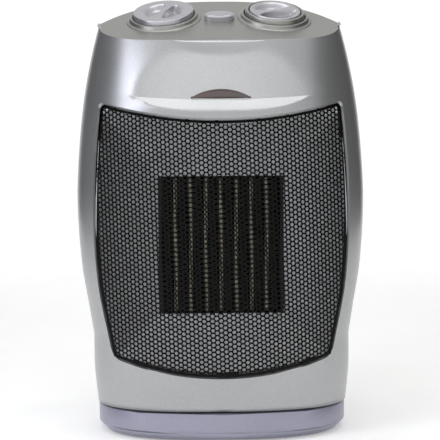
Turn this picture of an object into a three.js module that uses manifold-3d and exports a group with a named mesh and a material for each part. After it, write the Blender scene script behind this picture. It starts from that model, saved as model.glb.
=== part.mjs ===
// Ceramic space heater: a swinging head on an oval base, with a fan, a ceramic element and two dials.
// Millimetres. +Z is up, -Y is the front, and the origin is on the floor under the middle of the heater.

import * as THREE from 'three';
import { mergeVertices } from 'three/addons/utils/BufferGeometryUtils.js';
import Module from 'manifold-3d';

const wasm = await Module();
wasm.setup();

// ---------- driving dimensions ----------

const seatGap = 0.3;            // between two pieces that rest on each other
const runGap = 0.4;             // around a piece that turns or slides

// overall: the head at its widest and deepest
const headHalfWidth = 92.5;
const headHalfDepth = 68.25;

// base
const baseHalfWidth = headHalfWidth - 11.7;
const baseHalfDepth = headHalfDepth - 10.75;
const baseTop = 18.6;
const baseBottom = 1.2;
const baseChamfer = 5;
const baseWall = 2.2;
const wellMargin = 9.5;         // before and behind the round well for the swing crank
const tipSwitchRoom = 32.8;     // beside the well, for the tip-over switch
const wellRadius = Math.min(baseHalfDepth - wellMargin, baseHalfWidth - tipSwitchRoom);
const wellFloor = 11;
const footRadius = 7;
const footHeight = 2.7;
const footBevel = 0.8;
const footX = baseHalfWidth - 26.8;
const footY = baseHalfDepth - 31.5;
const plateThickness = 1.8;

// swivel and swing drive
const sleeveRadius = 11;
const sleeveBore = 7;
const hubWall = 4;
const washerThickness = 1.7;
const swingAngle = 28;          // degrees each way
const crankDistance = 30;       // from the swivel axis to the crank shaft
const crankPinRadius = 2.2;
const crankThickness = 2.2;
const slotRibWidth = 2.4;
const slotRibHeight = 3.5;
const swingMotorRadius = 22;
const swingMotorHeight = 14;
const swingShaftRadius = 2.5;

// tip-over switch
const plungerX = -(wellRadius + 16);
const plungerRadius = 4;
const plungerTravel = 6;
const springWire = 1.4;
const tipSwitchWidth = 9.5;
const tipSwitchDepth = 18;
const tipSwitchHeight = 8.7;

// head outline at heights above the floor: shares of the half-width, and of the depths before and
// behind the seam
const headBottom = 19.8;
const headTopLimit = 292;
const kinkHeight = 63.4;
const seamY = -8;               // plane where the front and rear shells meet
const roundness = 2.5;          // exponent of the oval plan outline
const lowerWidths = [[headBottom, 0.8746], [30, 0.8865], [43.5, 0.8984], [kinkHeight, 0.8984]];
const upperWidths = [[kinkHeight, 0.8984], [83.3, 0.9319], [109.6, 0.9762], [148.9, 1],
  [181.5, 0.9838], [213.9, 0.9459], [239.6, 0.8951], [260.8, 0.8378], [headTopLimit, 0.7351]];
const frontDepths = [[headBottom, 0.8166], [42, 0.8664], [80, 0.9328], [120, 0.9793], [160, 1.0008],
  [200, 1.0025], [208, 0.9925], [216, 0.956], [230, 0.883], [250, 0.7469], [headTopLimit, 0.4315]];
const backDepths = [[headBottom, 0.8551], [50, 0.9154], [90, 0.9744], [130, 0.998], [170, 0.9849],
  [210, 0.9285], [240, 0.8433], [headTopLimit, 0.6557]];
const shellWall = 2.4;
const floorThickness = 2;

// control deck: a crowned slope that rises to the ridge, with the rear hood behind it
const deckFrontY = 15.25 - headHalfDepth;
const deckFrontZ = 250;
const ridgeY = 9;
const ridgeZ = 278.5;
const deckCrownRadius = 509;
const hoodSlope = 0.3;
const hoodCurve = 0.008;
const hoodCrown = 5.03e-5;
const deckThickness = 2.4;

// forehead recess above the ledge
const ledgeBackY = 6.25 - headHalfDepth;
const ledgeBackZ = 213.4;
const ledgeSlope = 1.13;
const foreheadRadius = 325;
const ledgeRise = 1250;
const scoopHalfWidth = 33;
const scoopDrop = 7.5;

// mouth and grille
const mouthTopHalf = headHalfWidth - 18;
const mouthSideHalf = headHalfWidth - 13.5;
const mouthBottomHalf = headHalfWidth - 24;
const mouthTopCorner = 211.5;
const mouthTopCentre = 201;
const mouthSideZ = 135;
const mouthBottomCorner = 53.5;
const mouthBottomCentre = 42;
const mouthCornerTrim = 0.04;
const mouthRimWall = 1.8;
const mouthRimBackY = 31.25 - headHalfDepth;
const grilleThickness = 0.8;
const grilleFrontY = 3.75 - headHalfDepth;
const grilleRadiusX = 2 * mouthSideHalf;
const grilleRadiusZ = 900;
const grilleCentreZ = 121.5;

// indicator lens
const lensHalfWidth = 18.7;
const lensHeight = 5.9;
const lensProud = 0.5;
const lensThickness = 3;
const lensGap = 0.6;            // between the ledge and the lens
const neonRadius = 2.2;
const neonLength = 12;

// heating element
const windowHalfWidth = 40;
const windowHalfHeight = 44;
const elementFrontY = -27.7;
const elementBackY = -0.5;
const frameWall = 6;
const frameRail = 2.3;          // inner rails that narrow the frame to the strips
const stripDepth = 14;
const stripCount = 8;
const barWidth = 2.2;
const funnelSheet = 1;
const funnelFrontY = 24.25 - headHalfDepth;
const funnelFlange = 3;
const cutoutRadius = 7;
const cutoutHeight = 6;

// fan
const fanZ = 121.5;
const fanRadius = 43;
const fanHubRadius = 12;
const fanBlades = 6;
const fanFrontY = 6;
const fanDepth = 11;
const bladeThickness = 1.6;
const bladePitch = 35;          // degrees
const shroudHalfWidth = fanRadius + 17;
const shroudHalfHeight = fanRadius + 13;
const shroudThickness = 2;
const shroudRingDepth = 20;
const shroudGap = 2;
const motorRadius = 20;
const motorLength = 24;
const motorShaftRadius = 2;
const capNutRadius = 5;
const capNutHeight = 3;
const bracketWidth = 16;
const bracketThickness = 1.8;

// rear shell details
const slotCount = 12;
const slotHeight = 3.2;
const slotPitch = 7.2;
const slotHalfWidth = 42;
const slotCentreZ = 121.5;
const screenThickness = 1;
const screenMargin = 4;
const gripHalfWidth = 42;
const gripBottom = 206;
const gripTop = 232;
const gripDepth = 24;
const gripWall = 2.2;
const glandX = 45;
const glandZ = 42;
const glandRadius = 6;
const glandFlangeRadius = 9;
const glandBoreRadius = 3.6;
const glandInside = 14;         // length of the gland inside the wall
const glandFlange = 2;
const glandNose = 5;
const caseScrewX = 56;
const caseScrewLowZ = 44;
const caseScrewHighZ = 190;
const screwHeadRadius = 2.7;
const screwShankRadius = 1.5;
const screwLength = 12;

// dials and button
const dialX = 35.3;
const dialY = -16;
const modeKnobRadius = 19.2;
const thermostatKnobRadius = 16.3;
const bezelWidth = 2.4;
const collarWall = 1.2;
const collarHeight = 2.6;
const knobBase = 0.8;           // above the deck
const knobHeight = 4.6;
const dishDepth = 3.6;
const dishShare = 0.72;         // dish radius as a share of the knob's
const ridgeWidth = 4;
const modeRidgeTurn = 66;       // degrees from the width of the heater, at rest
const thermostatRidgeTurn = 26;
const dialShaftRadius = 3;
const switchBodyTop = -6;
const switchBodySize = 26;
const switchBodyHeight = 14;
const buttonY = -20.8;
const buttonHalfWidth = 9.5;
const buttonHalfDepth = 5.2;
const buttonProud = 4;
const buttonSunk = 2;
const buttonTravel = 3;
const buttonSwitchHeight = 12;

// ---------- small tools ----------

const group = new THREE.Group();
const up = new THREE.Vector3(0, 0, 1);

const finish = {
  silver: { color: 0xa7a8a6, roughness: 0.35, metalness: 0.6 },
  deck: { color: 0xa0a09c, roughness: 0.38, metalness: 0.6 },
  lavender: { color: 0x9494a4, roughness: 0.45, metalness: 0.2 },
  black: { color: 0x171717, roughness: 0.5, metalness: 0.2 },
  steel: { color: 0x9a9c9e, roughness: 0.35, metalness: 0.9 },
  fins: { color: 0x2a2a28, roughness: 0.6, metalness: 0.6 },
  ceramic: { color: 0x6a6760, roughness: 0.8, metalness: 0 },
  red: { color: 0x3a1412, roughness: 0.1, metalness: 0 },
  rubber: { color: 0x202020, roughness: 0.9, metalness: 0 },
  cream: { color: 0xd8d2c0, roughness: 0.6, metalness: 0 },
  brass: { color: 0xb08d4a, roughness: 0.4, metalness: 0.9 },
};

function piece(name, geometry, look, parent = group) {
  const mesh = new THREE.Mesh(geometry, new THREE.MeshStandardMaterial(look));
  mesh.name = name;
  parent.add(mesh);
  return mesh;
}

// a closed geometry as a solid that can be cut and joined
function solid(geometry) {
  const bare = geometry.index ? geometry.toNonIndexed() : geometry.clone();
  for (const name of Object.keys(bare.attributes)) {
    if (name !== 'position') bare.deleteAttribute(name);
  }
  const merged = mergeVertices(bare, 1e-4);
  return new wasm.Manifold(new wasm.Mesh({
    numProp: 3,
    vertProperties: Float32Array.from(merged.attributes.position.array),
    triVerts: Uint32Array.from(merged.index.array),
  }));
}

function asGeometry(body) {
  const mesh = body.getMesh();
  const geometry = new THREE.BufferGeometry();
  geometry.setAttribute('position', new THREE.BufferAttribute(mesh.vertProperties, 3));
  geometry.setIndex(new THREE.BufferAttribute(mesh.triVerts, 1));
  geometry.computeVertexNormals();
  return geometry;
}

function minus(body, ...cutters) {
  return cutters.reduce((rest, cutter) => rest.subtract(cutter), body);
}

function box(low, high) {
  const size = low.map((value, i) => high[i] - value);
  const middle = low.map((value, i) => (high[i] + value) / 2);
  return new THREE.BoxGeometry(...size).translate(...middle);
}

// a round solid about Z from pairs of radius and height, closed on the axis or on itself
function turned(points, sides = 32) {
  const profile = points.map(([r, z]) => new THREE.Vector2(r, z));
  return new THREE.LatheGeometry(profile, sides).rotateX(Math.PI / 2);
}

function disc(radius, low, high, sides = 32) {
  return turned([[0, low], [radius, low], [radius, high], [0, high]], sides);
}

function ring(inner, outer, low, high, sides = 32) {
  return turned([[inner, low], [outer, low], [outer, high], [inner, high], [inner, low]], sides);
}

// turn a solid made about Z so that it lies along Y, its low end in front
const alongY = (geometry) => geometry.rotateX(-Math.PI / 2);

// a flat outline in X and Z, as a prism between two depths
function prismY(shape, frontY, backY) {
  const geometry = new THREE.ExtrudeGeometry(shape, { depth: backY - frontY, bevelEnabled: false });
  return geometry.rotateX(Math.PI / 2).translate(0, backY, 0);
}

// a side outline in Y and Z, as a prism across the width from -reach to reach
function prismX(points, reach, steps) {
  const shape = new THREE.Shape(points.map(([y, z]) => new THREE.Vector2(y, z)));
  const geometry = new THREE.ExtrudeGeometry(shape, { depth: 2 * reach, steps, bevelEnabled: false });
  const turn = new THREE.Matrix4().makeBasis(new THREE.Vector3(0, 1, 0), up, new THREE.Vector3(1, 0, 0));
  return geometry.applyMatrix4(turn).translate(-reach, 0, 0);
}

// the same across the whole head, dropping towards its sides
function crownedPrism(points, drop) {
  const across = prismX(points, headHalfWidth + 17.5, 15);
  return moved(across, (p) => p.set(p.x, p.y, p.z - drop(Math.abs(p.x))));
}

function moved(geometry, change) {
  const place = geometry.attributes.position;
  const p = new THREE.Vector3();
  for (let i = 0; i < place.count; i += 1) {
    change(p.fromBufferAttribute(place, i));
    place.setXYZ(i, p.x, p.y, p.z);
  }
  return geometry;
}

function curveThrough(pairs) {
  const heights = pairs.map(([z]) => z);
  const values = pairs.map(([, value]) => value);
  const curve = new THREE.CubicInterpolant(heights, values, 1);
  return (z) => curve.evaluate(z)[0];
}

const ovalDepth = (x, half, depth) => depth * (1 - (Math.abs(x) / half) ** roundness) ** (1 / roundness);
const power = (value, exponent) => Math.sign(value) * Math.abs(value) ** exponent;

// a stack of ovals: a unit cylinder whose points are moved out to the outline at their height
function ovalStack(low, high, halfWidth, front, back, centreY, sides = 36, rings = 13) {
  const geometry = new THREE.CylinderGeometry(1, 1, high - low, sides, rings).rotateX(Math.PI / 2);
  geometry.translate(0, 0, (low + high) / 2);
  return moved(geometry, (p) => {
    const r = Math.hypot(p.x, p.y);
    const angle = Math.atan2(p.y, p.x);
    const depth = p.y < 0 ? front(p.z) : back(p.z);
    const x = r * halfWidth(p.z) * power(Math.cos(angle), 2 / roundness);
    const y = centreY + r * depth * power(Math.sin(angle), 2 / roundness);
    p.set(x, y, p.z);
  });
}

// ---------- head outline ----------

const lowerWidth = curveThrough(lowerWidths);
const upperWidth = curveThrough(upperWidths);
const frontDepth = curveThrough(frontDepths);
const backDepth = curveThrough(backDepths);
const headWidth = (z) => headHalfWidth * (z < kinkHeight ? lowerWidth(z) : upperWidth(z));
const headFront = (z) => (headHalfDepth + seamY) * frontDepth(z);
const headBack = (z) => (headHalfDepth - seamY) * backDepth(z);

function headStack(inset, low = headBottom) {
  const width = (z) => headWidth(Math.max(z, headBottom)) - inset;
  const front = (z) => headFront(Math.max(z, headBottom)) - inset;
  const back = (z) => headBack(Math.max(z, headBottom)) - inset;
  return solid(ovalStack(low, headTopLimit, width, front, back, seamY));
}

const deckRise = (ridgeZ - deckFrontZ) / (ridgeY - deckFrontY);
const deckHeight = (x, y) => deckFrontZ + (y - deckFrontY) * deckRise - x * x / (2 * deckCrownRadius);
const reachY = 100;
const deepZ = -40;

function underDeck(lower) {
  const edge = (y) => deckHeight(0, y) - lower;
  const outline = [[-reachY, deepZ], [reachY, deepZ], [reachY, edge(reachY)], [-reachY, edge(-reachY)]];
  return solid(crownedPrism(outline, (x) => x * x / (2 * deckCrownRadius)));
}

function underHood(lower) {
  const outline = [[reachY, deepZ], [reachY, deepZ + 1]];
  for (let y = reachY - 10; y > ridgeY; y -= 9) {
    const back = y - ridgeY;
    outline.push([y, ridgeZ - lower - hoodSlope * back - hoodCurve * back * back]);
  }
  outline.push([ridgeY, ridgeZ - lower]);
  outline.push([-reachY, ridgeZ - lower + hoodSlope * (ridgeY + reachY)], [-reachY, deepZ]);
  return solid(crownedPrism(outline, (x) => hoodCrown * x ** 3));
}

// the forehead recess, whose foot is the sloping ledge, and the scoop in the deck's front edge
function foreheadCutter() {
  const out = 14;
  const topZ = deckFrontZ + 14;
  const lean = (ledgeBackY - deckFrontY) / (deckFrontZ - ledgeBackZ);
  const ledgeFrontZ = ledgeBackZ - out * ledgeSlope;
  const outline = [[ledgeBackY, ledgeBackZ], [ledgeBackY - lean * (topZ - ledgeBackZ), topZ],
    [-reachY, topZ], [-reachY, ledgeFrontZ], [ledgeBackY - out, ledgeFrontZ]];
  return solid(moved(prismX(outline, headHalfWidth - 30.5, 10), (p) => {
    p.y += p.x * p.x / (2 * foreheadRadius);
    p.z += p.x * p.x / ledgeRise;
  }));
}

function scoopCutter() {
  const front = headFront(deckFrontZ);
  const sag = front - ovalDepth(scoopHalfWidth, headWidth(deckFrontZ), front);
  const cut = new THREE.BoxGeometry(2 * scoopHalfWidth + 20, 20, 40);
  cut.translate(0, -10, 0).rotateX(-Math.atan2(sag + 1.6, scoopDrop));
  return solid(cut.translate(0, deckFrontY + sag, deckFrontZ));
}

function mouthShape(grow) {
  const at = (x, z) => new THREE.Vector2(x, z);
  const corners = [
    at(-mouthTopHalf - grow, mouthTopCorner + grow),
    at(mouthTopHalf + grow, mouthTopCorner + grow),
    at(mouthBottomHalf + grow, mouthBottomCorner - grow),
    at(-mouthBottomHalf - grow, mouthBottomCorner - grow),
  ];
  const middles = [at(0, mouthTopCentre + grow), at(mouthSideHalf + grow, mouthSideZ),
    at(0, mouthBottomCentre - grow), at(-mouthSideHalf - grow, mouthSideZ)];
  const edges = corners.map((corner, i) => {
    const next = corners[(i + 1) % 4];
    const pull = middles[i].clone().multiplyScalar(2).sub(corner.clone().add(next).multiplyScalar(0.5));
    return new THREE.QuadraticBezierCurve(corner, pull, next);
  });
  const points = [];
  const steps = 8;
  edges.forEach((edge, i) => {
    for (let k = 0; k <= steps; k += 1) {
      points.push(edge.getPoint(mouthCornerTrim + (1 - 2 * mouthCornerTrim) * k / steps));
    }
    const next = edges[(i + 1) % 4].getPoint(mouthCornerTrim);
    const bend = new THREE.QuadraticBezierCurve(points.at(-1), corners[(i + 1) % 4], next);
    points.push(bend.getPoint(1 / 3), bend.getPoint(2 / 3));
  });
  return new THREE.Shape(points);
}

const lensShape = (grow) => {
  const half = lensHalfWidth + grow;
  const rise = lensHeight + grow;
  const radius = (half * half + rise * rise) / (2 * rise);
  const span = Math.asin(half / radius);
  const middle = Math.PI / 2;
  const arc = new THREE.EllipseCurve(0, rise - radius, radius, radius, middle - span, middle + span);
  const points = arc.getPoints(14);
  points.push(new THREE.Vector2(-half, -grow), new THREE.Vector2(half, -grow));
  return new THREE.Shape(points);
};

// ---------- seats of the dials and the button on the deck ----------

function deckSeat(x, y) {
  const seat = new THREE.Group();
  const normal = new THREE.Vector3(x / deckCrownRadius, -deckRise, 1).normalize();
  seat.position.set(x, y, deckHeight(x, y));
  seat.quaternion.setFromUnitVectors(up, normal);
  seat.updateMatrix();
  group.add(seat);
  return seat;
}

const modeSeat = deckSeat(-dialX, dialY);
const thermostatSeat = deckSeat(dialX, dialY);
const buttonSeat = deckSeat(0, buttonY);
const onSeat = (geometry, seat) => solid(geometry.applyMatrix4(seat.matrix));

function buttonStack(low, high, grow) {
  const width = () => buttonHalfWidth + grow;
  const depth = () => buttonHalfDepth + grow;
  return ovalStack(low, high, width, depth, depth, 0, 24, 1);
}

// ---------- head shells ----------

const outer = headStack(0).intersect(underDeck(0)).intersect(underHood(0)).subtract(foreheadCutter())
  .subtract(scoopCutter());
const hollow = headStack(shellWall, headBottom - 10).intersect(underHood(shellWall));
const walls = outer.intersect(underDeck(deckThickness + seatGap)).subtract(hollow);
const inFront = solid(box([-reachY, -reachY, 0], [reachY, seamY - seatGap / 2, 300]));
const behind = solid(box([-reachY, seamY + seatGap / 2, 0], [reachY, reachY, 300]));

function frontShell() {
  const backing = outer.intersect(solid(prismY(mouthShape(mouthRimWall), -reachY, mouthRimBackY)));
  const foreheadBacking = foreheadCutter().translate(0, shellWall, 0).intersect(outer)
    .intersect(underDeck(deckThickness + seatGap));
  const opening = solid(prismY(mouthShape(0), -reachY, 0));
  const lensHole = solid(prismY(lensShape(seatGap), -reachY, 0).translate(0, 0, ledgeBackZ + lensGap));
  return minus(walls.intersect(inFront).add(backing).add(foreheadBacking), opening, lensHole);
}

function rearShell() {
  const backAt = (z) => seamY + headBack(z);
  const pocketFloorY = backAt(gripTop) - gripDepth;
  const pocket = [[-gripHalfWidth, pocketFloorY, gripBottom], [gripHalfWidth, reachY, gripTop]];
  const pocketWalls = box(pocket[0].map((v) => v - gripWall), pocket[1].map((v) => v + gripWall));
  const grip = solid(pocketWalls).intersect(outer);
  let shell = walls.intersect(behind).add(grip).subtract(solid(box(...pocket)));
  for (let i = 0; i < slotCount; i += 1) {
    const z = slotCentreZ + (i - (slotCount - 1) / 2) * slotPitch;
    const low = [-slotHalfWidth, seamY + headBack(z) / 2, z - slotHeight / 2];
    shell = shell.subtract(solid(box(low, [slotHalfWidth, reachY, z + slotHeight / 2])));
  }
  const gland = alongY(disc(glandRadius + seatGap, 30, reachY, 20)).translate(glandX, 0, glandZ);
  shell = shell.subtract(solid(gland));
  for (const [x, z] of caseScrewPlaces) {
    const well = alongY(disc(screwHeadRadius + seatGap, 20, reachY, 12)).translate(x, 0, z);
    shell = shell.subtract(solid(well));
  }
  return shell;
}

const caseScrewPlaces = [[-caseScrewX, caseScrewLowZ], [caseScrewX, caseScrewLowZ],
  [-caseScrewX, caseScrewHighZ], [caseScrewX, caseScrewHighZ]];

function topDeck() {
  const dialHole = (radius) => disc(radius, -20, 20, 32);
  const collar = (radius) => ring(radius, radius + collarWall, -deckThickness, collarHeight, 30);
  const modeBore = modeKnobRadius + runGap;
  const bezelBore = thermostatKnobRadius + runGap + bezelWidth + seatGap;
  let deck = outer.subtract(underDeck(deckThickness));
  deck = deck.add(onSeat(collar(modeBore), modeSeat)).add(onSeat(collar(bezelBore), thermostatSeat));
  deck = deck.subtract(onSeat(dialHole(dialShaftRadius + runGap), modeSeat));
  deck = deck.subtract(onSeat(dialHole(dialShaftRadius + runGap), thermostatSeat));
  return deck.subtract(onSeat(buttonStack(-20, 20, runGap), buttonSeat));
}

piece('front_shell', asGeometry(frontShell()), finish.silver);
piece('rear_shell', asGeometry(rearShell()), finish.silver);
piece('top_deck', asGeometry(topDeck()), finish.deck);

// ---------- lens, lamp and grille ----------

function indicatorLens() {
  const front = foreheadCutter().translate(0, -lensProud, 0);
  const slab = foreheadCutter().translate(0, lensThickness - lensProud, 0).subtract(front);
  return slab.intersect(solid(prismY(lensShape(0), -reachY, 0).translate(0, 0, ledgeBackZ + lensGap)));
}

piece('indicator_lens', asGeometry(indicatorLens()), finish.red);
const neon = disc(neonRadius, -neonLength / 2, neonLength / 2, 12).rotateY(Math.PI / 2);
const neonY = ledgeBackY + lensThickness + neonRadius + 3;
piece('neon_lamp', neon.translate(0, neonY, ledgeBackZ + lensHeight / 2), finish.cream);

// the grille's curved sheet between two depths behind its front face
function curvedSheet(front, back) {
  const sheet = new THREE.BoxGeometry(2 * mouthSideHalf + 8, back - front, 190, 16, 1, 6);
  sheet.translate(0, (front + back) / 2, grilleCentreZ);
  return solid(moved(sheet, (p) => {
    const rise = p.z - grilleCentreZ;
    p.y += grilleFrontY + p.x * p.x / (2 * grilleRadiusX) + rise * rise / (2 * grilleRadiusZ);
  }));
}

const insideMouth = () => solid(prismY(mouthShape(-seatGap), -reachY, 0));
const frontGrille = () => curvedSheet(0, grilleThickness).intersect(insideMouth());

piece('front_grille', asGeometry(frontGrille()), finish.black);

// ---------- outlet funnel and heating element ----------

// a four-sided tapering block between a rectangle in front and one behind
function taper(front, back) {
  return moved(new THREE.BoxGeometry(1, 1, 1), (p) => {
    const end = p.y < 0 ? front : back;
    p.set(2 * p.x * end.half, end.y, p.z < 0 ? end.low : end.high);
  });
}

function outletFunnel() {
  const end = (y, half, low, high) => ({ y, half, low, high });
  const lowZ = grilleCentreZ - windowHalfHeight;
  const highZ = grilleCentreZ + windowHalfHeight;
  const depth = elementFrontY - seatGap - funnelFrontY;
  const front = (grow, y) => {
    const share = (y - funnelFrontY) / depth;
    const mix = (a, b) => a + (b - a) * share;
    return end(y, mix(mouthSideHalf, windowHalfWidth) + grow, mix(mouthBottomCentre, lowZ) - grow,
      mix(mouthTopCorner, highZ) + grow);
  };
  const backY = elementFrontY - seatGap;
  const walls = solid(taper(front(funnelSheet, grilleFrontY), front(funnelSheet, backY)));
  const bore = solid(taper(front(0, grilleFrontY - 1), front(0, backY + 1)));
  const flange = solid(box([-windowHalfWidth - funnelFlange, backY - funnelSheet, lowZ - funnelFlange],
    [windowHalfWidth + funnelFlange, backY, highZ + funnelFlange]));
  const behindGrille = curvedSheet(-30, grilleThickness + seatGap);
  return minus(walls.add(flange), bore, behindGrille).intersect(insideMouth());
}

piece('outlet_funnel', asGeometry(outletFunnel()), finish.steel);

const windowLow = grilleCentreZ - windowHalfHeight;
const windowHigh = grilleCentreZ + windowHalfHeight;
const stripsHalf = windowHalfWidth - frameRail;

function ptcFrame() {
  const half = windowHalfWidth + frameWall;
  const low = windowLow - frameWall;
  const high = windowHigh + frameWall;
  const frame = box([-half, elementFrontY, low], [half, elementBackY, high]);
  const front = elementFrontY - 1;
  const through = box([-stripsHalf, front, windowLow], [stripsHalf, elementBackY + 1, windowHigh]);
  return solid(frame).subtract(solid(through));
}

piece('ptc_frame', asGeometry(ptcFrame()), finish.black);

const stripWidth = (2 * stripsHalf - (stripCount - 1) * barWidth - 2 * stripCount * seatGap) / stripCount;
const stripPitch = stripWidth + barWidth + 2 * seatGap;
const stripFrontY = elementFrontY + 1.5;
const stripLow = windowLow + seatGap;
const stripHigh = windowHigh - seatGap;
for (let i = 0; i < stripCount; i += 1) {
  const left = -stripsHalf + seatGap + i * stripPitch;
  const right = left + stripWidth;
  const strip = box([left, stripFrontY, stripLow], [right, stripFrontY + stripDepth, stripHigh]);
  piece(`fin_strip_${i + 1}`, strip, finish.fins);
  if (i < stripCount - 1) {
    const barLeft = left + stripWidth + seatGap;
    const bar = box([barLeft, stripFrontY - 0.5, stripLow],
      [barLeft + barWidth, stripFrontY + stripDepth, stripHigh]);
    piece(`ceramic_bar_${i + 1}`, bar, finish.ceramic);
  }
}

const cutout = disc(cutoutRadius, 0, cutoutHeight, 20);
cutout.translate(22, (elementFrontY + elementBackY) / 2, windowHigh + frameWall + seatGap);
piece('thermal_cutout', cutout, finish.steel);

// ---------- fan ----------

const ringRadius = fanRadius + shroudGap;

function fanShroud() {
  const plate = solid(box([-shroudHalfWidth, 0, fanZ - shroudHalfHeight],
    [shroudHalfWidth, shroudThickness, fanZ + shroudHalfHeight]));
  const duct = solid(alongY(disc(ringRadius + 2, 0, shroudRingDepth, 40)).translate(0, 0, fanZ));
  const hole = solid(alongY(disc(ringRadius, -1, shroudRingDepth + 1, 40)).translate(0, 0, fanZ));
  return plate.add(duct).subtract(hole);
}

piece('fan_shroud', asGeometry(fanShroud()), finish.black);

const bracketY = shroudRingDepth + seatGap;
const motorY = bracketY + bracketThickness + seatGap;

function motorBracket() {
  const arm = solid(box([-ringRadius - 2, bracketY, fanZ - bracketWidth / 2],
    [ringRadius + 2, bracketY + bracketThickness, fanZ + bracketWidth / 2]));
  const hole = solid(alongY(disc(motorShaftRadius + runGap, 0, 60, 16)).translate(0, 0, fanZ));
  return arm.subtract(hole);
}

piece('motor_bracket', asGeometry(motorBracket()), finish.steel);
const motor = alongY(disc(motorRadius, motorY, motorY + motorLength, 28));
piece('fan_motor', motor, finish.steel).position.z = fanZ;
const shaftFrontY = fanFrontY - 1;
const shaft = alongY(disc(motorShaftRadius, shaftFrontY, motorY - runGap, 12));
piece('motor_shaft', shaft, finish.steel).position.z = fanZ;
const capY = shaftFrontY - seatGap;
const capNut = alongY(disc(capNutRadius, capY - capNutHeight, capY, 6));
piece('impeller_cap', capNut, finish.brass).position.z = fanZ;

function fanImpeller() {
  let wheel = solid(alongY(disc(fanHubRadius, fanFrontY, fanFrontY + fanDepth, 24)));
  for (let i = 0; i < fanBlades; i += 1) {
    const blade = new THREE.BoxGeometry(fanRadius - fanHubRadius + 4, bladeThickness, 22);
    blade.rotateX(THREE.MathUtils.degToRad(90 - bladePitch));
    blade.translate((fanRadius + fanHubRadius - 4) / 2, 0, 0);
    blade.translate(0, fanFrontY + fanDepth / 2, 0).rotateY(2 * Math.PI * i / fanBlades);
    wheel = wheel.add(solid(blade));
  }
  const tip = solid(alongY(disc(fanRadius, fanFrontY, fanFrontY + fanDepth, 40)));
  const bore = solid(alongY(disc(motorShaftRadius + seatGap, 0, 60, 16)));
  return wheel.intersect(tip).subtract(bore);
}

piece('fan_impeller', asGeometry(fanImpeller()), finish.black).position.z = fanZ;

// ---------- rear pieces ----------

const screenHalf = slotHalfWidth + screenMargin;
const screenHalfHeight = (slotCount * slotPitch) / 2 + screenMargin;
const screenY = seamY + Math.min(...[-1, 1].map((side) => {
  const z = slotCentreZ + side * screenHalfHeight;
  return ovalDepth(screenHalf, headWidth(z) - shellWall, headBack(z) - shellWall);
})) - screenThickness - 2;
piece('dust_screen', box([-screenHalf, screenY, slotCentreZ - screenHalfHeight],
  [screenHalf, screenY + screenThickness, slotCentreZ + screenHalfHeight]), finish.black);

function backWallY(x, z) {
  return seamY + ovalDepth(x, headWidth(z), headBack(z));
}

const glandFaceY = backWallY(glandX - glandFlangeRadius, glandZ) + 0.6;
const glandSteps = [[0, -glandInside], [glandRadius, -glandInside], [glandRadius, 0], [glandFlangeRadius, 0],
  [glandFlangeRadius, glandFlange], [glandRadius, glandNose], [0, glandNose]];
const glandProfile = glandSteps.map(([r, y]) => [r, glandFaceY + y]);
const glandBore = solid(alongY(disc(glandBoreRadius, 0, reachY, 16)));
const gland = solid(alongY(turned(glandProfile, 20))).subtract(glandBore);
piece('cord_gland', asGeometry(gland), finish.rubber).position.set(glandX, 0, glandZ);

caseScrewPlaces.forEach(([x, z], i) => {
  const headY = backWallY(x, z) - 1.5;
  const profile = [[0, -screwLength], [screwShankRadius, -screwLength], [screwShankRadius, -2],
    [screwHeadRadius, -2], [screwHeadRadius, 0], [0, 0]];
  piece(`case_screw_${i + 1}`, alongY(turned(profile, 12)), finish.steel).position.set(x, headY, z);
});

// ---------- dials, switches and button ----------

function knob(radius, ridgeTurn) {
  const top = knobBase + knobHeight;
  const dish = radius * dishShare;
  const profile = [[0, knobBase], [radius, knobBase], [radius, top - 0.8], [radius - 0.8, top], [dish, top],
    [dish - 2.5, top - dishDepth], [0, top - dishDepth]];
  const ridge = new THREE.BoxGeometry(2 * dish, ridgeWidth, dishDepth);
  ridge.translate(0, 0, top - dishDepth / 2 - 0.2);
  const inner = solid(disc(dish + 0.5, knobBase, top + 1, 40));
  ridge.rotateZ(THREE.MathUtils.degToRad(ridgeTurn));
  return solid(turned(profile, 40)).add(solid(ridge).intersect(inner));
}

function dial(name, bodyName, seat, radius, ridgeTurn) {
  piece(`${name}_knob`, asGeometry(knob(radius, ridgeTurn)), finish.silver, seat);
  const shaft = disc(dialShaftRadius, switchBodyTop + runGap, knobBase - seatGap, 16);
  piece(`${name}_shaft`, shaft, finish.brass, seat);
  const half = switchBodySize / 2;
  const body = box([-half, -half, switchBodyTop - switchBodyHeight], [half, half, switchBodyTop]);
  piece(bodyName, body, finish.cream, seat);
}

dial('mode', 'rotary_switch', modeSeat, modeKnobRadius, modeRidgeTurn);
dial('thermostat', 'thermostat_body', thermostatSeat, thermostatKnobRadius, thermostatRidgeTurn);
const bezelInner = thermostatKnobRadius + runGap;
const bezel = ring(bezelInner, bezelInner + bezelWidth, knobBase, knobBase + knobHeight - 1, 40);
piece('thermostat_bezel', bezel, finish.silver, thermostatSeat);
piece('swing_button', buttonStack(-buttonSunk, buttonProud, 0), finish.silver, buttonSeat);
const switchTop = -buttonSunk - buttonTravel - runGap;
const buttonSwitch = box([-7, -4, switchTop - buttonSwitchHeight], [7, 4, switchTop]);
piece('swing_switch', buttonSwitch, finish.cream, buttonSeat);

// ---------- head floor, swivel and swing drive ----------

const floorLow = baseTop + 1.9;
const hubLow = wellFloor - baseWall;
const sleeveLow = hubLow - 0.1;

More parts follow.
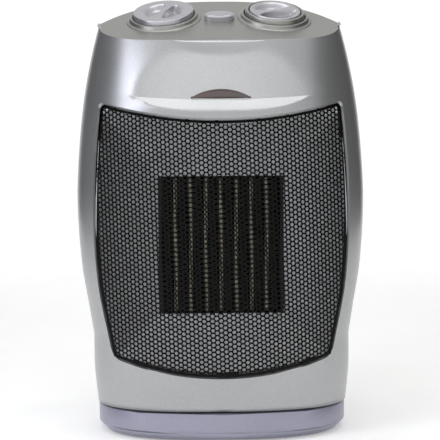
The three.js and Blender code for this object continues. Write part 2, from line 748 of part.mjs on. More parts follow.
function headFloor() {
  const inset = shellWall + seatGap;
  const width = () => headWidth(headBottom) - inset;
  const front = () => headFront(headBottom) - inset;
  const back = () => headBack(headBottom) - inset;
  const plate = solid(ovalStack(floorLow, floorLow + floorThickness, width, front, back, seamY, 36, 1));
  const sleeve = solid(disc(sleeveRadius, sleeveLow, floorLow + 1, 28));
  const bore = solid(disc(sleeveBore, sleeveLow - 1, floorLow + 5, 20));
  const shaftHole = solid(disc(swingShaftRadius + runGap, 0, 60, 16).translate(0, crankDistance, 0));
  return minus(plate.add(sleeve), bore, shaftHole);
}

piece('head_floor', asGeometry(headFloor()), finish.black);
const washerTop = sleeveLow - seatGap;
const washer = ring(sleeveBore, sleeveRadius + hubWall, washerTop - washerThickness, washerTop, 28);
piece('swivel_washer', washer, finish.steel);
const swingMotorLow = floorLow + floorThickness + seatGap;
const swingMotor = disc(swingMotorRadius, swingMotorLow, swingMotorLow + swingMotorHeight, 28);
piece('swing_motor', swingMotor, finish.steel).position.y = crankDistance;

const crankThrow = crankDistance * Math.sin(THREE.MathUtils.degToRad(swingAngle));
const crankTop = floorLow - 2;

function swingCrank() {
  const pinLow = wellFloor + slotRibHeight + runGap;
  const plate = solid(disc(crankThrow + crankPinRadius + 1, crankTop - crankThickness, crankTop, 28));
  const pin = solid(disc(crankPinRadius, pinLow, crankTop - 0.5, 14).translate(0, crankThrow, 0));
  const shaft = solid(disc(swingShaftRadius, crankTop - 0.5, swingMotorLow - runGap, 14));
  return plate.add(pin).add(shaft);
}

piece('swing_crank', asGeometry(swingCrank()), finish.cream).position.y = crankDistance;

// ---------- base ----------

function baseStack(inset, low, high) {
  const narrow = (z) => inset + baseChamfer * Math.max(0, (baseBottom + baseChamfer - z) / baseChamfer);
  const width = (z) => baseHalfWidth - narrow(z);
  const depth = (z) => baseHalfDepth - narrow(z);
  return solid(ovalStack(low, high, width, depth, depth, 0, 36, 3));
}

function baseShell() {
  const inside = baseStack(baseWall, baseBottom - 1, baseTop - baseWall);
  const tub = baseStack(0, baseBottom, baseTop).subtract(inside);
  const wellWall = solid(ring(wellRadius, wellRadius + baseWall, hubLow, baseTop, 32));
  const wellBottom = solid(disc(wellRadius + baseWall, hubLow, wellFloor, 32));
  const well = solid(disc(wellRadius, wellFloor, baseTop + 1, 32));
  const hub = solid(disc(sleeveRadius + hubWall, hubLow, wellFloor + 2, 28));
  const bore = solid(disc(sleeveRadius + runGap, 0, 60, 28));
  const track = solid(ring(wellRadius + 2, wellRadius + 4.5, baseTop - 0.5, floorLow - seatGap, 32));
  let shell = tub.subtract(well).add(wellWall).add(wellBottom).add(track).add(hub);
  const slotHalf = crankPinRadius + runGap;
  for (const side of [-1, 1]) {
    const near = Math.min(side * slotHalf, side * (slotHalf + slotRibWidth));
    shell = shell.add(solid(box([near, sleeveRadius + hubWall, wellFloor - 0.5],
      [near + slotRibWidth, crankDistance + crankThrow + crankPinRadius + 1, wellFloor + slotRibHeight])));
  }
  return shell.subtract(bore);
}

piece('base_shell', asGeometry(baseShell()), finish.lavender);

function basePlate() {
  const low = footHeight + seatGap;
  const plate = baseStack(baseWall + seatGap, low, low + plateThickness);
  return plate.subtract(solid(disc(plungerRadius + runGap, 0, 20, 20).translate(plungerX, 0, 0)));
}

piece('base_plate', asGeometry(basePlate()), finish.black);
const footProfile = [[0, 0], [footRadius - footBevel, 0], [footRadius, footBevel], [footRadius, footHeight],
  [0, footHeight]];
[[-1, -1], [1, -1], [-1, 1], [1, 1]].forEach(([x, y], i) => {
  piece(`foot_${i + 1}`, turned(footProfile, 20), finish.rubber).position.set(x * footX, y * footY, 0);
});

const plateTop = footHeight + seatGap + plateThickness;
const collarLow = plateTop + plungerTravel + runGap;
const collarRadius = plungerRadius + 2;
const plungerProfile = [[0, 0], [plungerRadius, 0], [plungerRadius, collarLow], [collarRadius, collarLow],
  [collarRadius, collarLow + 1], [0, collarLow + 1]];
piece('tip_plunger', turned(plungerProfile, 20), finish.cream).position.x = plungerX;
const springLow = collarLow + 1 + seatGap;
const springBore = plungerRadius - springWire;
const spring = ring(springBore, plungerRadius, springLow, baseTop - baseWall - seatGap, 16);
piece('plunger_spring', spring, finish.steel).position.x = plungerX;
const tipSwitch = new THREE.BoxGeometry(tipSwitchWidth, tipSwitchDepth, tipSwitchHeight);
tipSwitch.translate(1.2, collarRadius + 1 + tipSwitchDepth / 2, plateTop + seatGap + tipSwitchHeight / 2);
piece('tip_switch', tipSwitch, finish.black).position.x = plungerX;

export default group;
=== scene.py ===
# %% [markdown]
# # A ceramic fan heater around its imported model
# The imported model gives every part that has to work: its size, its place and what it turns on. This
# script keeps that as a fixed frame, and models the outer skins again, finely enough for close views.
# All sizes below are in millimetres, because that is how a maker speaks of them. A piece is turned
# into metres once, when it is finished.

# %% Load the frame
import math

import bmesh
import bpy
from mathutils import Matrix, Vector


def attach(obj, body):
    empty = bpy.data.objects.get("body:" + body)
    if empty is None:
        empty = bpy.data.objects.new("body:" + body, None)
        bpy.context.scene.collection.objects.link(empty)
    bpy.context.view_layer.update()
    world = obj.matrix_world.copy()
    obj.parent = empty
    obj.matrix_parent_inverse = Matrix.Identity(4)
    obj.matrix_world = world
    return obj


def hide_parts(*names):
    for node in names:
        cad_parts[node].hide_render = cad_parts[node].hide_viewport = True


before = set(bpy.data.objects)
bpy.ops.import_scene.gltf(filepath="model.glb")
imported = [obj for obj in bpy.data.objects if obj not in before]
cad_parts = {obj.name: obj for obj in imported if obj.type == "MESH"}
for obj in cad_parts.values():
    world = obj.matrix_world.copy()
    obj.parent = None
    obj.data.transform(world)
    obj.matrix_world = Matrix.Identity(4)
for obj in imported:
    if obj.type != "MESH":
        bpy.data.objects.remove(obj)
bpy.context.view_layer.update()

# %% [markdown]
# ## The camera
# A product picture of a small appliance is taken from a little under a metre away with a long lens,
# level with the top of the object and tipped down a few degrees. The camera's three axes are written
# out from its yaw, its tip and its small roll, so nothing else can turn it.

# %% Camera
CAMERA_PLACE = (-14.6, -868, 202.5)
CAMERA_TIP = math.radians(4.43)
CAMERA_YAW = math.radians(0.95)
CAMERA_ROLL = math.radians(-0.45)
CAMERA_LENS = 108.2


def camera_axes():
    ahead = Vector((math.sin(CAMERA_YAW) * math.cos(CAMERA_TIP),
                    math.cos(CAMERA_YAW) * math.cos(CAMERA_TIP), -math.sin(CAMERA_TIP)))
    level = Vector((math.cos(CAMERA_YAW), -math.sin(CAMERA_YAW), 0))
    above = level.cross(ahead)
    right = level * math.cos(CAMERA_ROLL) + above * math.sin(CAMERA_ROLL)
    return right, right.cross(ahead), -ahead


camera_data = bpy.data.cameras.new("camera")
camera_data.lens = CAMERA_LENS
camera_data.sensor_width = 36
camera = bpy.data.objects.new("camera", camera_data)
turn = Matrix(camera_axes()).transposed().to_4x4()
camera.matrix_world = Matrix.Translation(Vector(CAMERA_PLACE) / 1000) @ turn
bpy.context.collection.objects.link(camera)
bpy.context.scene.camera = camera

# %% [markdown]
# ## Small helpers
# A smooth curve through a few pairs describes how wide or deep the body is at each height. It is the
# same kind of curve that a loft uses between its sections.


# %% Curve through pairs
def curve_through(pairs):
    """A smooth function through (place, value) pairs that doesn't swing past them by much."""
    places = [p for p, _ in pairs]
    values = [v for _, v in pairs]
    count = len(pairs)
    slopes = []
    for i in range(count):
        low, high = max(i - 1, 0), min(i + 1, count - 1)
        slopes.append((values[high] - values[low]) / (places[high] - places[low]))

    def at(place):
        place = min(max(place, places[0]), places[-1])
        i = max(k for k in range(count - 1) if places[k] <= place or k == 0)
        span = places[i + 1] - places[i]
        t = (place - places[i]) / span
        return ((2 * t ** 3 - 3 * t ** 2 + 1) * values[i] + (t ** 3 - 2 * t ** 2 + t) * span * slopes[i]
                + (3 * t ** 2 - 2 * t ** 3) * values[i + 1] + (t ** 3 - t ** 2) * span * slopes[i + 1])

    return at


def mix(a, b, share):
    return a + (b - a) * share


def solve(wanted, low, high):
    """The place between low and high where wanted(place) changes sign."""
    rising = wanted(high) > 0
    for _ in range(40):
        middle = (low + high) / 2
        if (wanted(middle) > 0) == rising:
            high = middle
        else:
            low = middle
    return (low + high) / 2


def signed_power(value, exponent):
    return math.copysign(abs(value) ** exponent, value)


# %% [markdown]
# A finished piece goes through one function. It scales the mesh to metres, closes doubled points,
# shades it smooth except over real edges, and tells the frame which body the piece rides on and which
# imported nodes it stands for.


# %% Finish a piece
def mesh_object(name, bm, material):
    mesh = bpy.data.meshes.new(name)
    bm.to_mesh(mesh)
    bm.free()
    mesh.materials.append(material)
    made = bpy.data.objects.new(name, mesh)
    bpy.context.collection.objects.link(made)
    return made


def only(kind, geometry):
    return [g for g in geometry if isinstance(g, kind)]


def pull_edges(bm, edges):
    """Extrudes edges and gives the new edges and their points, which still lie on the old ones."""
    made = bmesh.ops.extrude_edge_only(bm, edges=edges)["geom"]
    return only(bmesh.types.BMEdge, made), only(bmesh.types.BMVert, made)


def face_along(bm, axis, side):
    """Turns the faces of an open skin together, so that most of their area looks to one side of an axis."""
    bmesh.ops.recalc_face_normals(bm, faces=bm.faces)
    if side * sum(f.normal[axis] * f.calc_area() for f in bm.faces) < 0:
        bmesh.ops.reverse_faces(bm, faces=bm.faces)


def finish_piece(bm, name, body, material, nodes=(), edge_angle=32, merge=0.004, outward=False):
    bmesh.ops.remove_doubles(bm, verts=bm.verts, dist=merge)
    if outward:
        bmesh.ops.recalc_face_normals(bm, faces=bm.faces)
    bmesh.ops.scale(bm, vec=(0.001, 0.001, 0.001), verts=bm.verts)
    piece = mesh_object(name, bm, material)
    mesh = piece.data
    mesh.polygons.foreach_set("use_smooth", [True] * len(mesh.polygons))
    mesh.set_sharp_from_angle(angle=math.radians(edge_angle))
    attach(piece, body)
    if nodes:
        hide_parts(*nodes)
    print(f"{name}: {len(mesh.polygons)} faces")
    return piece


def thicken(piece, millimetres, inward=True, even=True):
    """Gives a skin a wall. Even offset keeps a flat sheet true, quality normals suit a rounded shell."""
    wall = piece.modifiers.new("wall", "SOLIDIFY")
    wall.thickness = millimetres / 1000
    wall.offset = -1 if inward else 1
    if even:
        wall.use_even_offset = True
    else:
        wall.use_quality_normals = True


def soften_wall(piece, millimetres):
    thicken(piece, millimetres, even=False)


def soften(piece, millimetres, segments, angle=35):
    edges = piece.modifiers.new("edges", "BEVEL")
    edges.width = millimetres / 1000
    edges.segments = segments
    edges.limit_method = "ANGLE"
    edges.angle_limit = math.radians(angle)
    edges.harden_normals = False


# %% [markdown]
# ## Materials
# Every finish is a small node tree around one Principled shader. Colours are written as the sRGB hex
# values that a paint card would give, and one function turns them into the linear values that a
# shader works in. One helper adds a node with its settings and its links.


# %% Node helpers
def linear(hex_colour):
    parts = [int(hex_colour[i:i + 2], 16) / 255 for i in (1, 3, 5)]
    return tuple(p / 12.92 if p <= 0.04045 else ((p + 0.055) / 1.055) ** 2.4 for p in parts) + (1.0,)


def add_node(tree, kind, settings=None, links=None):
    """Adds a node: settings are its properties or input values, links join its inputs to outputs."""
    node = tree.nodes.new(kind)
    for key, value in (settings or {}).items():
        if hasattr(node, key) and not isinstance(key, int):
            setattr(node, key, value)
        else:
            node.inputs[key].default_value = value
    for key, output in (links or {}).items():
        tree.links.new(output, node.inputs[key])
    return node


def new_material(name, colour, roughness, metallic=0.0, **sockets):
    material = bpy.data.materials.new(name)
    material.use_nodes = True
    shader = material.node_tree.nodes["Principled BSDF"]
    shader.inputs["Base Color"].default_value = linear(colour)
    shader.inputs["Roughness"].default_value = roughness
    shader.inputs["Metallic"].default_value = metallic
    for key, value in sockets.items():
        shader.inputs[key.replace("_", " ")].default_value = value
    return material, material.node_tree, shader


def surface_noise(tree, per_mm, detail=3.0, rough=0.5):
    """A noise whose lumps are about 1 / per_mm millimetres across, fixed to the piece."""
    place = add_node(tree, "ShaderNodeTexCoord")
    return add_node(tree, "ShaderNodeTexNoise", {"Scale": per_mm * 1000, "Detail": detail, "Roughness": rough},
                    {"Vector": place.outputs["Object"]})


def vary_colour(tree, shader, noise, dark, light, low=0.35, high=0.65):
    ramp = add_node(tree, "ShaderNodeMapRange", {"From Min": low, "From Max": high}, {"Value": noise.outputs["Fac"]})
    blend = add_node(tree, "ShaderNodeMix", {"data_type": "RGBA"}, {"Factor": ramp.outputs["Result"]})
    blend.inputs[6].default_value = linear(dark)
    blend.inputs[7].default_value = linear(light)
    tree.links.new(blend.outputs[2], shader.inputs["Base Color"])


def vary_roughness(tree, shader, noise, low, high):
    ramp = add_node(tree, "ShaderNodeMapRange", {"From Min": 0.3, "From Max": 0.7, "To Min": low, "To Max": high},
                    {"Value": noise.outputs["Fac"]})
    tree.links.new(ramp.outputs["Result"], shader.inputs["Roughness"])


def bump(tree, shader, noise, height_mm, strength=1.0):
    node = add_node(tree, "ShaderNodeBump", {"Distance": height_mm / 1000, "Strength": strength},
                    {"Height": noise.outputs["Fac"]})
    tree.links.new(node.outputs["Normal"], shader.inputs["Normal"])


def grained(name, colour, roughness, metallic, grain, tones, gloss=None, relief=None, span=(0.35, 0.65), **sockets):
    """A finish with one grain, which sets its tones and, where they are given, its gloss and relief."""
    material, tree, shader = new_material(name, colour, roughness, metallic, **sockets)
    noise = surface_noise(tree, *grain)
    vary_colour(tree, shader, noise, *tones, *span)
    if gloss:
        vary_roughness(tree, shader, noise, *gloss)
    if relief:
        bump(tree, shader, noise, *relief)
    return material


# %% [markdown]
# The body is moulded ABS sprayed with silver paint. Aluminium flakes lie nearly flat in the lacquer,
# so it mirrors big soft lights like dull metal, with a fine grain of brighter and darker flakes. The
# flakes are 0.05 mm across in truth, and are drawn about 0.4 mm so that they show at all.


# %% Silver paints
def silver_paint(name, dark, light, roughness, metallic=0.75):
    material, tree, shader = new_material(name, light, roughness, metallic, Coat_Weight=0.25, Coat_Roughness=0.18)
    flakes = surface_noise(tree, 2.4, 2.0, 0.6)
    vary_colour(tree, shader, flakes, dark, light, 0.3, 0.7)
    cloud = surface_noise(tree, 0.02, 2.0)
    vary_roughness(tree, shader, cloud, roughness - 0.03, roughness + 0.04)
    bump(tree, shader, flakes, 0.004, 0.5)
    return material


SHELL_PAINT = silver_paint("silver_flake_paint_on_abs", "#9fa0a1", "#b8b9ba", 0.34)
DECK_PAINT = silver_paint("silver_flake_paint_on_deck", "#8c8c89", "#a09f9b", 0.38)
DIAL_PAINT = silver_paint("satin_silver_paint_on_dials", "#a9a9ad", "#c2c2c8", 0.3)

# %% [markdown]
# The base is painted in a cooler lavender grey. The element's duct is bright rolled sheet, the front
# sheet is black powder coat, and the hidden mouldings are black heat-resistant plastic.

# %% Base paint, plastics and metals
BASE_PAINT = grained("lavender_grey_satin_paint", "#9a9aab", 0.4, 0.35, (2.4, 2.0), ("#9292a3", "#a2a2b3"),
                     relief=(0.004, 0.5), span=(0.3, 0.7), Coat_Weight=0.2, Coat_Roughness=0.25)
POWDER_BLACK = grained("black_powder_coat_on_steel", "#070707", 0.5, 0.0, (1.2, 3.0), ("#050505", "#0a0a0a"),
                       (0.42, 0.55), (0.01, 0.5), Specular_IOR_Level=0.12)
MOULDED_BLACK = grained("black_spark_textured_nylon", "#191919", 0.55, 0.0, (2.0, 4.0, 0.6), ("#131313", "#212121"),
                        relief=(0.02, 0.6))

DUCT_SHEET, tree, shader = new_material("bright_rolled_steel_sheet", "#909193", 0.42, 0.9)
place = add_node(tree, "ShaderNodeTexCoord")
stretch = add_node(tree, "ShaderNodeMapping", {"Scale": (40, 600, 900)}, {"Vector": place.outputs["Object"]})
rolling = add_node(tree, "ShaderNodeTexNoise", {"Scale": 1.0, "Detail": 3.0}, {"Vector": stretch.outputs["Vector"]})
vary_colour(tree, shader, rolling, "#bcbec1", "#d4d6d8")
vary_roughness(tree, shader, rolling, 0.36, 0.5)

ZINC = grained("zinc_plated_steel", "#b4b6b6", 0.35, 1.0, (0.3, 3.0), ("#a2a5a6", "#c2c3c1"), (0.28, 0.45))
BRASS = grained("turned_brass", "#c8a45a", 0.3, 1.0, (1.5, 2.0), ("#b8923f", "#d3b06a"))
# The fins are bare aluminium; their near-black tones are painted shade, the shade in their narrow folds deep behind
# the grille.
FIN_METAL_WITH_PAINTED_SHADE = grained("aluminium_fin_darkened_with_painted_shade", "#0f0f0e", 0.6, 0.4, (0.15, 4.0), ("#23221f", "#45423a"))
STONE = grained("fired_ceramic_in_foil", "#3d3a33", 0.65, 0.2, (0.4, 4.0), ("#6f6a5c", "#a39c8a"),
                relief=(0.02, 0.5))
CREAM_NYLON = grained("undyed_moulded_nylon", "#d9d2bf", 0.5, 0.0, (0.1, 3.0), ("#cfc7b1", "#e2dccb"))
SOFT_BLACK = grained("black_moulded_rubber", "#1d1d1d", 0.8, 0.0, (2.0, 4.0), ("#161616", "#262626"),
                     relief=(0.03, 0.6))
RED_LENS = grained("dark_red_polished_acrylic", "#2b0d0a", 0.06, 0.0, (0.05, 2.0), ("#240a08", "#3a1511"),
                   Coat_Weight=0.6, Coat_Roughness=0.03)

LAMP_GLASS, tree, shader = new_material("clear_lamp_glass", "#e8d9cc", 0.05, 0.0, Transmission_Weight=0.8)
haze = surface_noise(tree, 0.3, 2.0)
vary_roughness(tree, shader, haze, 0.03, 0.12)

SCREEN_MESH, tree, shader = new_material("dark_filter_gauze", "#26272a", 0.7)
weave = add_node(tree, "ShaderNodeTexVoronoi", {"Scale": 700.0},
                 {"Vector": add_node(tree, "ShaderNodeTexCoord").outputs["Object"]})
ramp = add_node(tree, "ShaderNodeMapRange", {"From Max": 0.6, "To Min": 0.4, "To Max": 0.9},
                {"Value": weave.outputs["Distance"]})
tree.links.new(ramp.outputs["Result"], shader.inputs["Roughness"])

# %% [markdown]
# ## The body's outline
# Seen from above, every section of the head is an oval: flatter than an ellipse in front, tight at
# the sides. Its half width, front depth and back depth change with height. The same few values drove
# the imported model, so the new skins lie on it.

# %% Outline of the head
SEAM_Y = -8
ROUNDNESS = 2.5
SKIN_BACK = 0.7
HEAD_BOTTOM = 19.8
KINK_Z = 63.4
lower_width = curve_through([(19.8, 80.9), (30, 82), (43.5, 83.1), (63.4, 83.1)])
upper_width = curve_through([(63.4, 83.1), (83.3, 86.2), (109.6, 90.3), (148.9, 92.5), (181.5, 91),
                             (213.9, 87.5), (239.6, 82.8), (260.8, 77.5), (292, 68)])
front_depth = curve_through([(19.8, 49.2), (42, 52.2), (80, 56.2), (120, 59), (160, 60.3), (200, 60.6),
                             (208, 60.5), (216, 57.9), (230, 53.2), (250, 45), (292, 26)])
back_depth = curve_through([(19.8, 65.2), (50, 69.8), (90, 74.3), (130, 76.1), (170, 75.1), (210, 70.8),
                            (240, 64.3), (292, 50)])

DECK_FRONT = (-53, 250)
RIDGE = (9, 278.5)
DECK_RISE = (RIDGE[1] - DECK_FRONT[1]) / (RIDGE[0] - DECK_FRONT[0])
DECK_CROWN = 509
HOOD_SLOPE, HOOD_CURVE, HOOD_CROWN = 0.3, 0.008, 5.03e-5


def half_width(z):
    return (lower_width(z) if z < KINK_Z else upper_width(z)) - 0.08


def oval(x, half, depth):
    return depth * max(0.0, 1 - (abs(x) / half) ** ROUNDNESS) ** (1 / ROUNDNESS)


def deck_z(x, y):
    return DECK_FRONT[1] + (y - DECK_FRONT[0]) * DECK_RISE - x * x / (2 * DECK_CROWN)


def hood_z(x, y):
    back = y - RIDGE[0]
    return RIDGE[1] - 0.1 - HOOD_SLOPE * back - HOOD_CURVE * max(back, 0) ** 2 - HOOD_CROWN * abs(x) ** 3


def ridge_y(x):
    """Where the deck meets the hood behind it."""
    return solve(lambda y: deck_z(x, y) - hood_z(x, y), -40, 30)


# %% [markdown]
# ## The front shell
# The front shell carries the mouth, a brow over it, a bright sloping ledge and a flatter forehead cut
# into the crown of the body. All of these are ways of moving the same skin back, so the skin's depth
# at any point is the furthest back of three surfaces: the oval body, the forehead and the ledge, and
# a small scoop under the deck's edge.

# %% Depth of the front skin
LEDGE_Y, LEDGE_Z = -62, 213.4
LEDGE_SLOPE = 1.13
FOREHEAD_RADIUS = 325
LEDGE_RISE = 1250
FOREHEAD_LEAN = (DECK_FRONT[0] - LEDGE_Y) / (DECK_FRONT[1] - LEDGE_Z)
LEDGE_HALF = 57
SCOOP_Y, SCOOP_Z, SCOOP_SLOPE, SCOOP_HALF = -51.0, 250, 0.484, 38


def ledge_foot(x):
    return LEDGE_Z + x * x / LEDGE_RISE


def body_y(x, z):
    return SEAM_Y - oval(x, half_width(z), front_depth(z) - SKIN_BACK)


def smooth_max(a, b, width):
    h = max(width - abs(a - b), 0) / width
    return max(a, b) + h * h * width / 4


SCOOP_REACH = 70


def scoop_y(z):
    """The scoop is a flat cut that leans back, and the bowed forehead gives it the outline of a crescent."""
    return SCOOP_Y + (z - SCOOP_Z) * SCOOP_SLOPE


def skin_y(x, z, with_scoop=True):
    depth = body_y(x, z)
    if abs(x) < SCOOP_REACH:
        back = LEDGE_Y + x * x / (2 * FOREHEAD_RADIUS)
        foot = ledge_foot(x)
        if z >= foot:
            depth = smooth_max(depth, back + (z - foot) * FOREHEAD_LEAN, 0.8)
        else:
            depth = max(depth, back - (foot - z) / LEDGE_SLOPE)
    if with_scoop and abs(x) < SCOOP_HALF:
        depth = max(depth, scoop_y(z))
    return depth


def ledge_lip(x):
    """The lower edge of the ledge, where it meets the brow."""
    foot = ledge_foot(x)
    back = LEDGE_Y + x * x / (2 * FOREHEAD_RADIUS)
    if abs(x) > LEDGE_HALF or back < body_y(x, foot):
        return foot - 0.6
    lip = solve(lambda z: back - (foot - z) / LEDGE_SLOPE - body_y(x, z), foot - 14, foot)
    return min(lip, foot - 0.6)


def deck_edge(x):
    """Height at which the front skin meets the deck, or the hood at the far sides."""
    return solve(lambda z: z - min(deck_z(x, skin_y(x, z)), hood_z(x, skin_y(x, z))), 225, 275)


def scoop_foot(x):
    """The lower edge of the scoop, or a line just under the deck's edge beside it."""
    top = deck_edge(x)
    gap = lambda z: scoop_y(z) - skin_y(x, z, False)
    if abs(x) < SCOOP_HALF and gap(top) > 0:
        return min(solve(gap, top - 14, top), top - 0.5)
    return top - 0.5


# %% [markdown]
# The mouth is four shallow arcs. Its side edges follow one curve of half width over height, and its
# top and bottom edges sag. The skin's grid is laid so that its lines run along all of these edges,
# which gives clean corners with no cutting.

# %% Outline of the mouth
MOUTH_TOP, MOUTH_TOP_SAG = 201, 10.5
MOUTH_BOTTOM, MOUTH_BOTTOM_SAG = 42, 11.5
MOUTH_TOP_HALF, MOUTH_BOTTOM_HALF = 74.5, 68.5
RIM_CHAMFER, RIM_STEP = 1.1, 9
LEDGE_ROUNDING, FRONT_WALL = 0.35, 1.6
MOUTH_TOP_FILLET, MOUTH_BOTTOM_FILLET = 4, 7
mouth_half = curve_through([(19.8, 66.5), (53.5, 68.5), (95, 76.2), (135, 79), (175, 78), (211.5, 74.5),
                            (235, 70.5), (262, 65)])


def mouth_top(x):
    return MOUTH_TOP + MOUTH_TOP_SAG * (x / MOUTH_TOP_HALF) ** 2


def mouth_bottom(x):
    return MOUTH_BOTTOM + MOUTH_BOTTOM_SAG * (x / MOUTH_BOTTOM_HALF) ** 2


def mouth_top_edge(x):
    return mouth_top(x) + RIM_CHAMFER


def mouth_bottom_edge(x):
    return mouth_bottom(x) - RIM_CHAMFER


# rows of the skin from bottom to top: each is a height as a function of x
FRONT_ROWS = [
    (lambda x: HEAD_BOTTOM, 0),
    (mouth_bottom_edge, 8),
    (mouth_top_edge, 56),
    (ledge_lip, 4),
    (ledge_foot, 3),
    (scoop_foot, 12),
    (deck_edge, 3),
]
INNER_COLUMNS = 64
OUTER_COLUMNS = 12


def crowd_ends(share, strength=0.75):
    """Moves evenly spaced shares towards both ends, where the corners need more points."""
    return share - strength * math.sin(2 * math.pi * share) / (2 * math.pi)


def front_rows():
    rows = [FRONT_ROWS[0][0]]
    starts = [0]
    for (below, _), (above, steps) in zip(FRONT_ROWS, FRONT_ROWS[1:]):
        for k in range(1, steps + 1):
            share = crowd_ends(k / steps) if above is mouth_top_edge else k / steps
            rows.append(lambda x, below=below, above=above, share=share: mix(below(x), above(x), share))
        starts.append(len(rows) - 1)
    return rows, starts


def column_x(column, z):
    """Column 0 is the left seam, and the mouth's edge and the right seam are on columns too."""
    half = mouth_half(z) + RIM_CHAMFER
    inside = column - OUTER_COLUMNS
    if 0 <= inside <= INNER_COLUMNS:
        return half * (2 * crowd_ends(inside / INNER_COLUMNS) - 1)
    side = -1 if inside < 0 else 1
    past = -inside if inside < 0 else inside - INNER_COLUMNS
    width = half_width(z)
    start = math.asin(min(1, (half / width) ** (ROUNDNESS / 2)))
    angle = mix(start, math.pi / 2, past / OUTER_COLUMNS)
    return side * width * math.sin(angle) ** (2 / ROUNDNESS)


def front_skin():
    rows, starts = front_rows()
    columns = INNER_COLUMNS + 2 * OUTER_COLUMNS
    bm = bmesh.new()
    bmesh.ops.create_grid(bm, x_segments=columns, y_segments=len(rows) - 1, size=0.5)
    layer = bm.verts.layers.int.new("cell")
    for v in bm.verts:
        column = round((v.co.x + 0.5) * columns)
        row = round((v.co.y + 0.5) * (len(rows) - 1))
        z = rows[row](0)
        for _ in range(4):
            x = column_x(column, z)
            z = rows[row](x)
        v.co = (x, skin_y(x, z), z)
        v[layer] = row * 1000 + column
    first, last = OUTER_COLUMNS, OUTER_COLUMNS + INNER_COLUMNS
    in_mouth = lambda v: first <= v[layer] % 1000 <= last and starts[1] <= v[layer] // 1000 <= starts[2]
    hole = [f for f in bm.faces if all(in_mouth(v) for v in f.verts)]
    bmesh.ops.delete(bm, geom=hole, context="FACES")
    for column, row in ((first, 1), (last, 1), (first, 2), (last, 2)):
        round_corner(bm, layer, column, starts[row], MOUTH_TOP_FILLET if row == 2 else MOUTH_BOTTOM_FILLET)
    return bm, layer, starts


def round_corner(bm, layer, column, row, radius):
    """Slides the outline of the mouth near one corner onto an arc of the given radius."""
    at = {v[layer]: v for v in bm.verts}
    corner = at[row * 1000 + column].co.copy()
    step_x = 1 if column == OUTER_COLUMNS else -1
    step_z = 1 if row < 20 else -1
    along_top = (at[row * 1000 + column + step_x].co - corner).normalized()
    along_side = (at[(row + step_z) * 1000 + column].co - corner).normalized()
    start = row * 1000 + column
    for key, first, second, stride in ((start, along_top, along_side, step_x),
                                       (start + step_z * 1000, along_side, along_top, step_z * 1000)):
        while key in at:
            v = at[key]
            far = (v.co - corner).length
            if far >= radius:
                break
            angle = (1 - far / radius) * math.pi / 4
            v.co = corner + first * radius * (1 - math.sin(angle)) + second * radius * (1 - math.cos(angle))
            v.co.y = skin_y(v.co.x, v.co.z)
            key += stride


# %% [markdown]
# The rim of the mouth is turned back as a chamfer that catches the light and then a deep wall that
# holds the front sheet. Both come from the edge of the hole: it is extruded twice, and each copy is
# moved where the next line of the rim lies.


# %% Front shell
def build_front_shell():
    bm, layer, starts = front_skin()
    face_along(bm, 1, -1)
    lip_row = starts[3]
    ledge_edges = []
    for e in bm.edges:
        a, b = e.verts
        same_row = a[layer] // 1000 == b[layer] // 1000 == lip_row
        if same_row and max(abs(a.co.x), abs(b.co.x)) < LEDGE_HALF - 10:
            ledge_edges.append(e)
    centre = Vector((0, 0, (MOUTH_TOP + MOUTH_BOTTOM) / 2))
    edge = [e for e in bm.edges if e.is_boundary and all(is_rim(v.co) for v in e.verts)]
    for shrink, back in ((RIM_CHAMFER, RIM_CHAMFER), (0, RIM_STEP), (0, RIM_STEP)):
        edge, moved = pull_edges(bm, edge)
        for v in moved:
            v.co.x *= 1 - shrink / MOUTH_TOP_HALF
            v.co.z = centre.z + (v.co.z - centre.z) * (1 - shrink / (MOUTH_TOP - centre.z))
            v.co.y += back
    bmesh.ops.bevel(bm, geom=ledge_edges, offset=LEDGE_ROUNDING, segments=3, profile=0.5, affect="EDGES", material=-1,
                    clamp_overlap=True)
    shell = finish_piece(bm, "front_shell_skin", "head", SHELL_PAINT, ["front_shell"], edge_angle=24)
    soften_wall(shell, FRONT_WALL)
    return shell


def is_rim(co):
    inside_x = abs(co.x) < mouth_half(co.z) + RIM_CHAMFER + 0.6
    return inside_x and mouth_bottom(co.x) - 3 < co.z < mouth_top(co.x) + 3


front_shell_skin = build_front_shell()

# %% [markdown]
# ## The rear shell
# The rear shell wraps the back and closes over the top as a hood that rises to a ridge. Its twelve
# air slots and the hand grip are on the middle of the back, so the grid has lines along their edges:
# the slots are simply faces left out, and the grip is a patch of faces pushed in.

# %% Rear shell grid
SLOT_HALF, SLOT_HEIGHT, SLOT_PITCH, SLOT_COUNT, SLOT_CENTRE = 42, 3.2, 7.2, 12, 121.5
GRIP_LOW, GRIP_HIGH, GRIP_DEPTH = 206, 232, 21
BACK_COLUMNS, SIDE_COLUMNS, HOOD_ROWS = 28, 16, 12
SHOULDER_RADIUS, SHOULDER_ROWS = 10, 7
RIDGE_END = (77.3, -17)


def slot_edges():
    edges = []
    for i in range(SLOT_COUNT):
        middle = SLOT_CENTRE + (i - (SLOT_COUNT - 1) / 2) * SLOT_PITCH
        edges += [middle - SLOT_HEIGHT / 2, middle + SLOT_HEIGHT / 2]
    return edges


def between(low, high, count):
    return [mix(low, high, k / count) for k in range(1, count)]


BACK_ROWS = ([HEAD_BOTTOM] + between(HEAD_BOTTOM, slot_edges()[0], 9) + slot_edges()
             + between(slot_edges()[-1], GRIP_LOW, 7) + [GRIP_LOW] + between(GRIP_LOW, GRIP_HIGH, 5) + [GRIP_HIGH])


